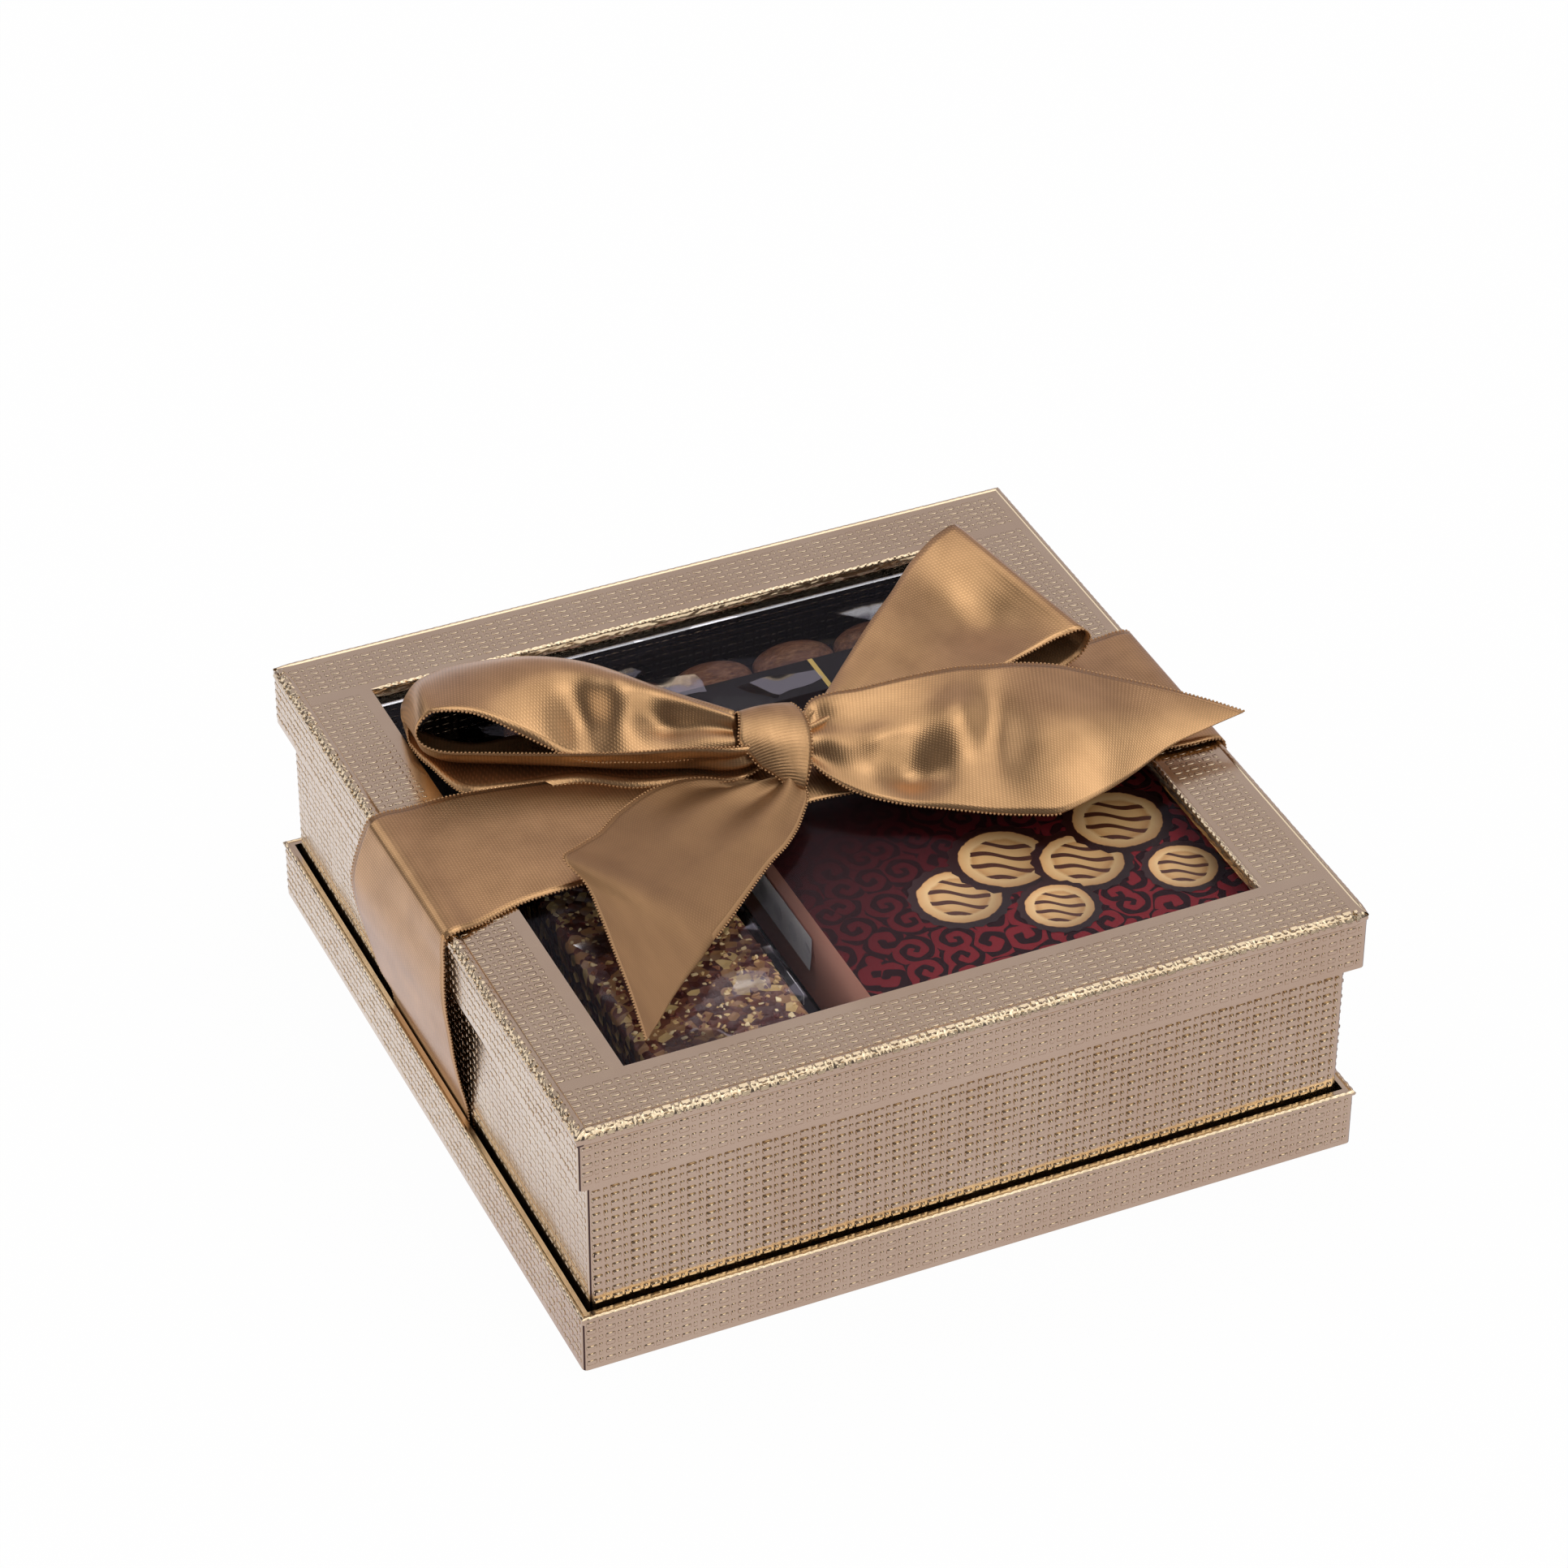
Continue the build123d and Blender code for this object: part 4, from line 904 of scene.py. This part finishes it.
window_sheet = film_material("window_sheet", gloss_share=0.010, facet_gloss=0.014, facet_size=90 * mm,
                             facet_tilt=0.05, tint=(0.99, 0.99, 0.99, 1))
pack_film = film_material("pack_film", 0.015, 0.30, 9 * mm, 0.8, (0.97, 0.97, 0.98, 1))
dress(window_sheet, "window_film")

ridge_shine = film_material("window_ridge", 0.30, 0.55, 14 * mm, 0.1, (0.96, 0.96, 1.0, 1))
# The window's crease: a low ridge along the film's back edge.
ridge_line, ridge_width, ridge_rise = window_half_y - 4.2 * mm, 1.3 * mm, 0.28 * mm
ridge_steps, ridge_bands, ridge_low = 40, 7, film_top + 0.03 * mm
points = []
for step in range(ridge_steps + 1):
    for band in range(ridge_bands):
        over = band / (ridge_bands - 1)
        points.append(((2 * step / ridge_steps - 1) * (window_half_x - 0.5 * mm),
                       ridge_line + (over - 0.5) * ridge_width,
                       ridge_low + ridge_rise * math.sin(math.pi * over)))
mesh = smooth_mesh("window_ridge", points, grid_faces(ridge_steps + 1, ridge_bands), ridge_shine)
piece("window_ridge", mesh, "lid")
dress(pack_film, "nut_bar_wrapper", "nut_bag", "wafer_bag", "nut_tray")


# Wafer carton: a folding carton printed in burgundy, with a tone-on-tone damask and round biscuits in tan,
# and a plain rose-brown side. It holds eighteen rolled wafers in a sealed bag.
carton_low, carton_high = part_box("wafer_carton")
carton_print, tree, shader = new_material("carton_print")
coords = own_coords(tree)
curl_size, curl_turns = 8.5 * mm, 15.0
scroll = node(tree, "ShaderNodeTexVoronoi", {"Vector": coords, "Scale": 1 / curl_size, "Randomness": 0.75})
arm = parts_of(tree, vector_sum(tree, "SUBTRACT", coords, scroll.outputs["Position"]))
around = sum_of(tree, "ARCTAN2", arm["Y"], arm["X"])
pick = node(tree, "ShaderNodeSeparateColor", {0: scroll.outputs["Color"]}).outputs[0]
toss = sum_of(tree, "GREATER_THAN", sum_of(tree, "FRACT", sum_of(tree, "MULTIPLY", pick, 7.0)), 0.5)
sense = sum_of(tree, "MULTIPLY_ADD", toss, 2.0, -1.0)
winding = sum_of(tree, "MULTIPLY_ADD", scroll.outputs["Distance"], curl_turns,
                 sum_of(tree, "MULTIPLY", around, sense))
curl = sum_of(tree, "SINE", winding)
leaves = sum_of(tree, "MULTIPLY_ADD", sum_of(tree, "SINE", sum_of(tree, "MULTIPLY", around, 5.0)), 0.25, curl)
damask = sum_of(tree, "GREATER_THAN", leaves, 0.1)
part = parts_of(tree, coords)
glowing = map_range(tree, sum_of(tree, "MULTIPLY_ADD", part["X"], -0.55, part["Y"]), -0.075, -0.015, 1.0, 0.0)
ground = ramp(tree, glowing, [(0.0, (0.030, 0.006, 0.007)), (0.45, (0.075, 0.007, 0.010)),
                              (1.0, (0.19, 0.014, 0.020))])
figure = ramp(tree, glowing, [(0.0, (0.022, 0.005, 0.006)), (1.0, (0.020, 0.005, 0.007))])
printed = mixed(tree, damask, ground, figure)
facing = parts_of(tree, node(tree, "ShaderNodeNewGeometry").outputs["Normal"])
side = sum_of(tree, "LESS_THAN", facing["Z"], 0.5)
rose = (0.78, 0.40, 0.31, 1)
plug(tree, shader, {"Base Color": mixed(tree, side, printed, rose), "Roughness": 0.35,
                    "Specular IOR Level": 0.12})
surface_bump(tree, shader, (wear_noise(tree, coords, 2 * mm), 0.02 * mm))
dress(carton_print, "wafer_carton", "wafer_carton_end_flaps")

# The printed biscuits: round, with a scalloped rim, a bright ring, a brown edge and poured stripes. They
# lie a hair over the board, each a little higher than the one before.
biscuit_print, tree, shader = new_material("printed_biscuits")
laid = node(tree, "ShaderNodeUVMap", uv_map="laid").outputs["UV"]
bake = wear_noise(tree, own_coords(tree), 4 * mm, 5.0, 0.65)
depth = sum_of(tree, "MULTIPLY_ADD", bake, 0.16, vector_sum(tree, "LENGTH", laid))
crust = ramp(tree, depth, [
    (0.0, (0.78, 0.50, 0.22)), (0.55, (0.74, 0.45, 0.19)), (0.70, (0.60, 0.32, 0.12)),
    (0.78, (0.80, 0.54, 0.26)), (0.98, (0.66, 0.37, 0.15)), (1.06, (0.30, 0.11, 0.035)),
    (1.12, (0.03, 0.006, 0.006))])
over = parts_of(tree, laid)
wave = sum_of(tree, "SINE", sum_of(tree, "MULTIPLY", over["X"], 7.0))
wander = sum_of(tree, "MULTIPLY_ADD", wave, 0.06, over["Y"])
slanting = sum_of(tree, "MULTIPLY_ADD", over["X"], 0.6, wander)
stripes = sum_of(tree, "SINE", sum_of(tree, "MULTIPLY", slanting, 15.0))
poured = sum_of(tree, "MULTIPLY", sum_of(tree, "GREATER_THAN", stripes, 0.45),
                sum_of(tree, "LESS_THAN", depth, 0.76))
lit_side = sum_of(tree, "MULTIPLY_ADD", over["Y"], 0.25, sum_of(tree, "MULTIPLY_ADD", over["X"], -0.2, 0.85))
toned = node(tree, "ShaderNodeVectorMath", {0: crust, 3: lit_side}, operation="SCALE").outputs[0]
plug(tree, shader, {"Base Color": mixed(tree, poured, toned, (0.085, 0.025, 0.012, 1)), "Roughness": 0.35})
surface_bump(tree, shader, (bake, 0.03 * mm))
print_rise, scallops, scallop_depth = 0.06 * mm, 20, 0.03
biscuits = ((20, -45, 11), (36, -36, 12), (53, -44, 11), (68, -33, 12), (40, -58, 9), (74, -56, 9))
ring_reach, spokes = (0.4, 0.8, 1.0, 1.12), 40
rings = len(ring_reach)
points, faces, uvs = [], [], []
for order, (x, y, radius) in enumerate(biscuits):
    start = len(points)
    level = carton_high.z + print_rise * (1 + 0.25 * order)
    points.append((x * mm, y * mm, level))
    uvs.append((0, 0))
    for ring in range(1, rings + 1):
        for spoke in range(spokes):
            turn = 2 * math.pi * spoke / spokes
            scallop = 1 + (scallop_depth * math.cos(scallops * turn) if ring >= rings - 1 else 0)
            reach = ring_reach[ring - 1] * scallop
            uvs.append((reach * math.cos(turn), reach * math.sin(turn)))
            points.append(((x + radius * reach * math.cos(turn)) * mm,
                           (y + radius * reach * math.sin(turn)) * mm, level))
    for spoke in range(spokes):
        after = (spoke + 1) % spokes
        faces.append((start, start + 1 + spoke, start + 1 + after))
        for ring in range(rings - 1):
            low, high = start + 1 + ring * spokes, start + 1 + (ring + 1) * spokes
            faces.append((low + spoke, high + spoke, high + after, low + after))
mesh = bpy.data.meshes.new("printed_biscuits")
mesh.from_pydata(points, [], faces)
layer = mesh.uv_layers.new(name="laid")
for loop in mesh.loops:
    layer.data[loop.index].uv = uvs[loop.vertex_index]
mesh.materials.append(biscuit_print)
piece("printed_biscuits", mesh, "base")

wafer_bake, tree, shader = new_material("baked_wafer")
coords = own_coords(tree)
stripe = node(tree, "ShaderNodeTexWave", {"Vector": coords, "Scale": 30.0, "Distortion": 3.0},
              bands_direction="DIAGONAL")
tone = sum_of(tree, "MULTIPLY_ADD", wear_noise(tree, coords, 2 * mm), 0.4, stripe.outputs["Fac"])
plug(tree, shader, {"Base Color": ramp(tree, tone, [(0.4, (0.24, 0.08, 0.03)), (0.8, (0.66, 0.40, 0.17))]),
                    "Roughness": 0.6})
surface_bump(tree, shader, (tone, 0.15 * mm))
dress(wafer_bake, "wafer_rolls")


# Nut bar: chopped nuts and dried fruit pressed into a slab, in clear film with a white strip label on its
# shoulder. The pieces are separate chips that stand out of the slab's top.
bar_low, bar_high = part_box("nut_bar")
fruit_paste, tree, shader = new_material("fruit_paste")
crumb = node(tree, "ShaderNodeTexVoronoi", {"Vector": own_coords(tree), "Scale": 1 / (2.6 * mm)})
pick = node(tree, "ShaderNodeSeparateColor", {0: crumb.outputs["Color"]}).outputs[0]
fruit_and_nut = ramp(tree, pick, [(0.0, (0.09, 0.022, 0.016)), (0.35, (0.16, 0.05, 0.028)),
                                  (0.6, (0.34, 0.17, 0.07)), (0.85, (0.62, 0.42, 0.17))], "CONSTANT")
plug(tree, shader, {"Base Color": fruit_and_nut, "Roughness": 0.4})
surface_bump(tree, shader, (crumb.outputs["Distance"], 0.9 * mm))
dress(fruit_paste, "nut_bar")

chip_mix, tree, shader = new_material("nut_and_fruit_chips")
shade = node(tree, "ShaderNodeAttribute", attribute_name="tone").outputs["Fac"]
mottle = wear_noise(tree, own_coords(tree), 1.4 * mm, 4.0)
tone = sum_of(tree, "MULTIPLY_ADD", mottle, 0.12, shade)
chip_colour = ramp(tree, tone, [(0.0, (0.07, 0.014, 0.014)), (0.30, (0.17, 0.035, 0.024)),
                                (0.46, (0.28, 0.10, 0.04)), (0.60, (0.52, 0.30, 0.11)),
                                (0.80, (0.78, 0.55, 0.24)), (1.0, (0.88, 0.72, 0.42))])
plug(tree, shader, {"Base Color": chip_colour, "Roughness": 0.38})
surface_bump(tree, shader, (mottle, 0.2 * mm))
rng = np.random.default_rng(7)
points, faces, tones = [], [], []
# The chips' measures are in millimetres. Each chip is a worn block of one of four tones.
chip_count, chip_sizes, chip_flatness, chip_tones = 1250, (0.9, 2.3), (1, 0.8, 0.6), (0.12, 0.3, 0.62, 0.85)
side_inset, front_inset, chip_sunk, chip_proud, chip_wear = 1.2, 1.0, 0.25, 0.75, 0.14 * mm
block_faces = ((0, 1, 3, 2), (4, 6, 7, 5), (0, 4, 5, 1), (2, 3, 7, 6), (0, 2, 6, 4), (1, 5, 7, 3))
bar_top = bar_high.z / mm
for _ in range(chip_count):
    size = rng.uniform(*chip_sizes, 3) * chip_flatness
    spot = np.array((rng.uniform(bar_low.x / mm + side_inset, bar_high.x / mm - side_inset),
                     rng.uniform(bar_low.y / mm + front_inset, bar_high.y / mm - side_inset),
                     bar_top - chip_sunk))
    axis = rng.normal(size=3)
    turn = np.array(Matrix.Rotation(rng.uniform(0, math.pi), 3, Vector(axis).normalized()))
    corners = np.array([(x, y, z) for x in (-1, 1) for y in (-1, 1) for z in (-1, 1)], float)
    corners *= rng.uniform(0.55, 1.0, (8, 1))
    solid = (corners * size / 2) @ turn.T + spot
    solid[:, 2] = np.clip(solid[:, 2], None, bar_top + chip_proud)
    start = len(points)
    points += (solid * mm).tolist()
    faces += [[start + corner for corner in face] for face in block_faces]
    tones += [float(np.clip(rng.choice(chip_tones) + rng.normal() * 0.07, 0, 1))] * 8
mesh = bpy.data.meshes.new("bar_chips")
mesh.from_pydata(points, [], faces)
mesh.attributes.new("tone", "FLOAT", "POINT").data.foreach_set("value", tones)
mesh.materials.append(chip_mix)
chips = piece("bar_chips", mesh, "base")
edge = chips.modifiers.new("worn", "BEVEL")
edge.width, edge.segments = chip_wear, 1

white_label, tree, shader = new_material("white_label")
fleck = wear_noise(tree, own_coords(tree), 3 * mm)
plug(tree, shader, {"Base Color": ramp(tree, fleck, [(0.3, (0.82, 0.81, 0.83)), (0.7, (0.90, 0.89, 0.90))]),
                    "Roughness": 0.5})
dress(white_label, "nut_bar_label")

# The wrapper's seam flap hangs into the gap beside the bar and leans against the carton, the label's other
# half pasted on its upright part. Each profile is a row of places across the gap with their heights.
wrapper_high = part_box("nut_bar_wrapper")[1]
carton_side = carton_low.x
flap_profile = ((wrapper_high.x - 1.2 * mm, 59.35 * mm), (wrapper_high.x + 1.5 * mm, 57.5 * mm),
                (wrapper_high.x + 5.0 * mm, 51.5 * mm), (carton_side - 2.2 * mm, 45.2 * mm),
                (carton_side - 0.9 * mm, 45.8 * mm), (carton_side - 0.5 * mm, 51.0 * mm),
                (carton_side - 0.4 * mm, 56.6 * mm))
flap_back, flap_front, flap_slant, flap_ripple, flap_steps = 5 * mm, -39 * mm, -12 * mm, 0.25 * mm, 30
label_profile = ((carton_side - 1.05 * mm, 47.0 * mm), (carton_side - 0.65 * mm, 51.0 * mm),
                 (carton_side - 0.55 * mm, 56.4 * mm))
for name, profile, finish, slot_name in (("wrapper_flap", flap_profile, pack_film, "clear_film"),
                                         ("flap_label", label_profile, white_label, "white_label")):
    loose = name == "wrapper_flap"
    last = len(profile) - 1
    points = []
    for step in range(flap_steps + 1):
        share = step / flap_steps
        for order, (x, z) in enumerate(profile):
            slant = flap_slant * (1 - order / last) if loose else 0.0
            y = flap_back + share * (flap_front + slant - flap_back)
            ripple = flap_ripple * math.sin(share * 17 + order) if loose and 0 < order < last else 0.0
            points.append((x - abs(ripple), y, z))
    mesh = smooth_mesh(name, points, grid_faces(flap_steps + 1, len(profile)), finish)
    piece(name, mesh, "base")


# Nut pack: loose almonds in a shallow clear tray, with a black card over its front that has one gold line,
# all in a clear film bag.
almond_skin, tree, shader = new_material("almond_skin")
stretched = node(tree, "ShaderNodeMapping", {"Vector": own_coords(tree), "Scale": (0.35, 1.0, 1.0)})
streak = wear_noise(tree, stretched.outputs[0], 0.9 * mm, 5.0, 0.7)
skin = ramp(tree, streak, [(0.32, (0.065, 0.022, 0.010)), (0.5, (0.15, 0.056, 0.024)),
                           (0.7, (0.27, 0.125, 0.06))])
plug(tree, shader, {"Base Color": skin, "Roughness": 0.6})
surface_bump(tree, shader, (streak, 0.45 * mm))
dress(almond_skin, "almonds")

lined_card = fibre_material("lined_card", *card_blacks, 1.5 * mm, 0.5)
tree = lined_card.node_tree
shader = tree.nodes["Principled BSDF"]
line_at, line_width, gilt = 28.7 * mm, 1.3 * mm, (0.62, 0.45, 0.13, 1)
off_line = sum_of(tree, "ABSOLUTE", sum_of(tree, "SUBTRACT", parts_of(tree, own_coords(tree))["X"], line_at))
on_line = sum_of(tree, "LESS_THAN", off_line, line_width / 2)
card = shader.inputs["Base Color"].links[0].from_socket
plug(tree, shader, {"Base Color": mixed(tree, on_line, card, gilt)})
dress(lined_card, "nut_card")
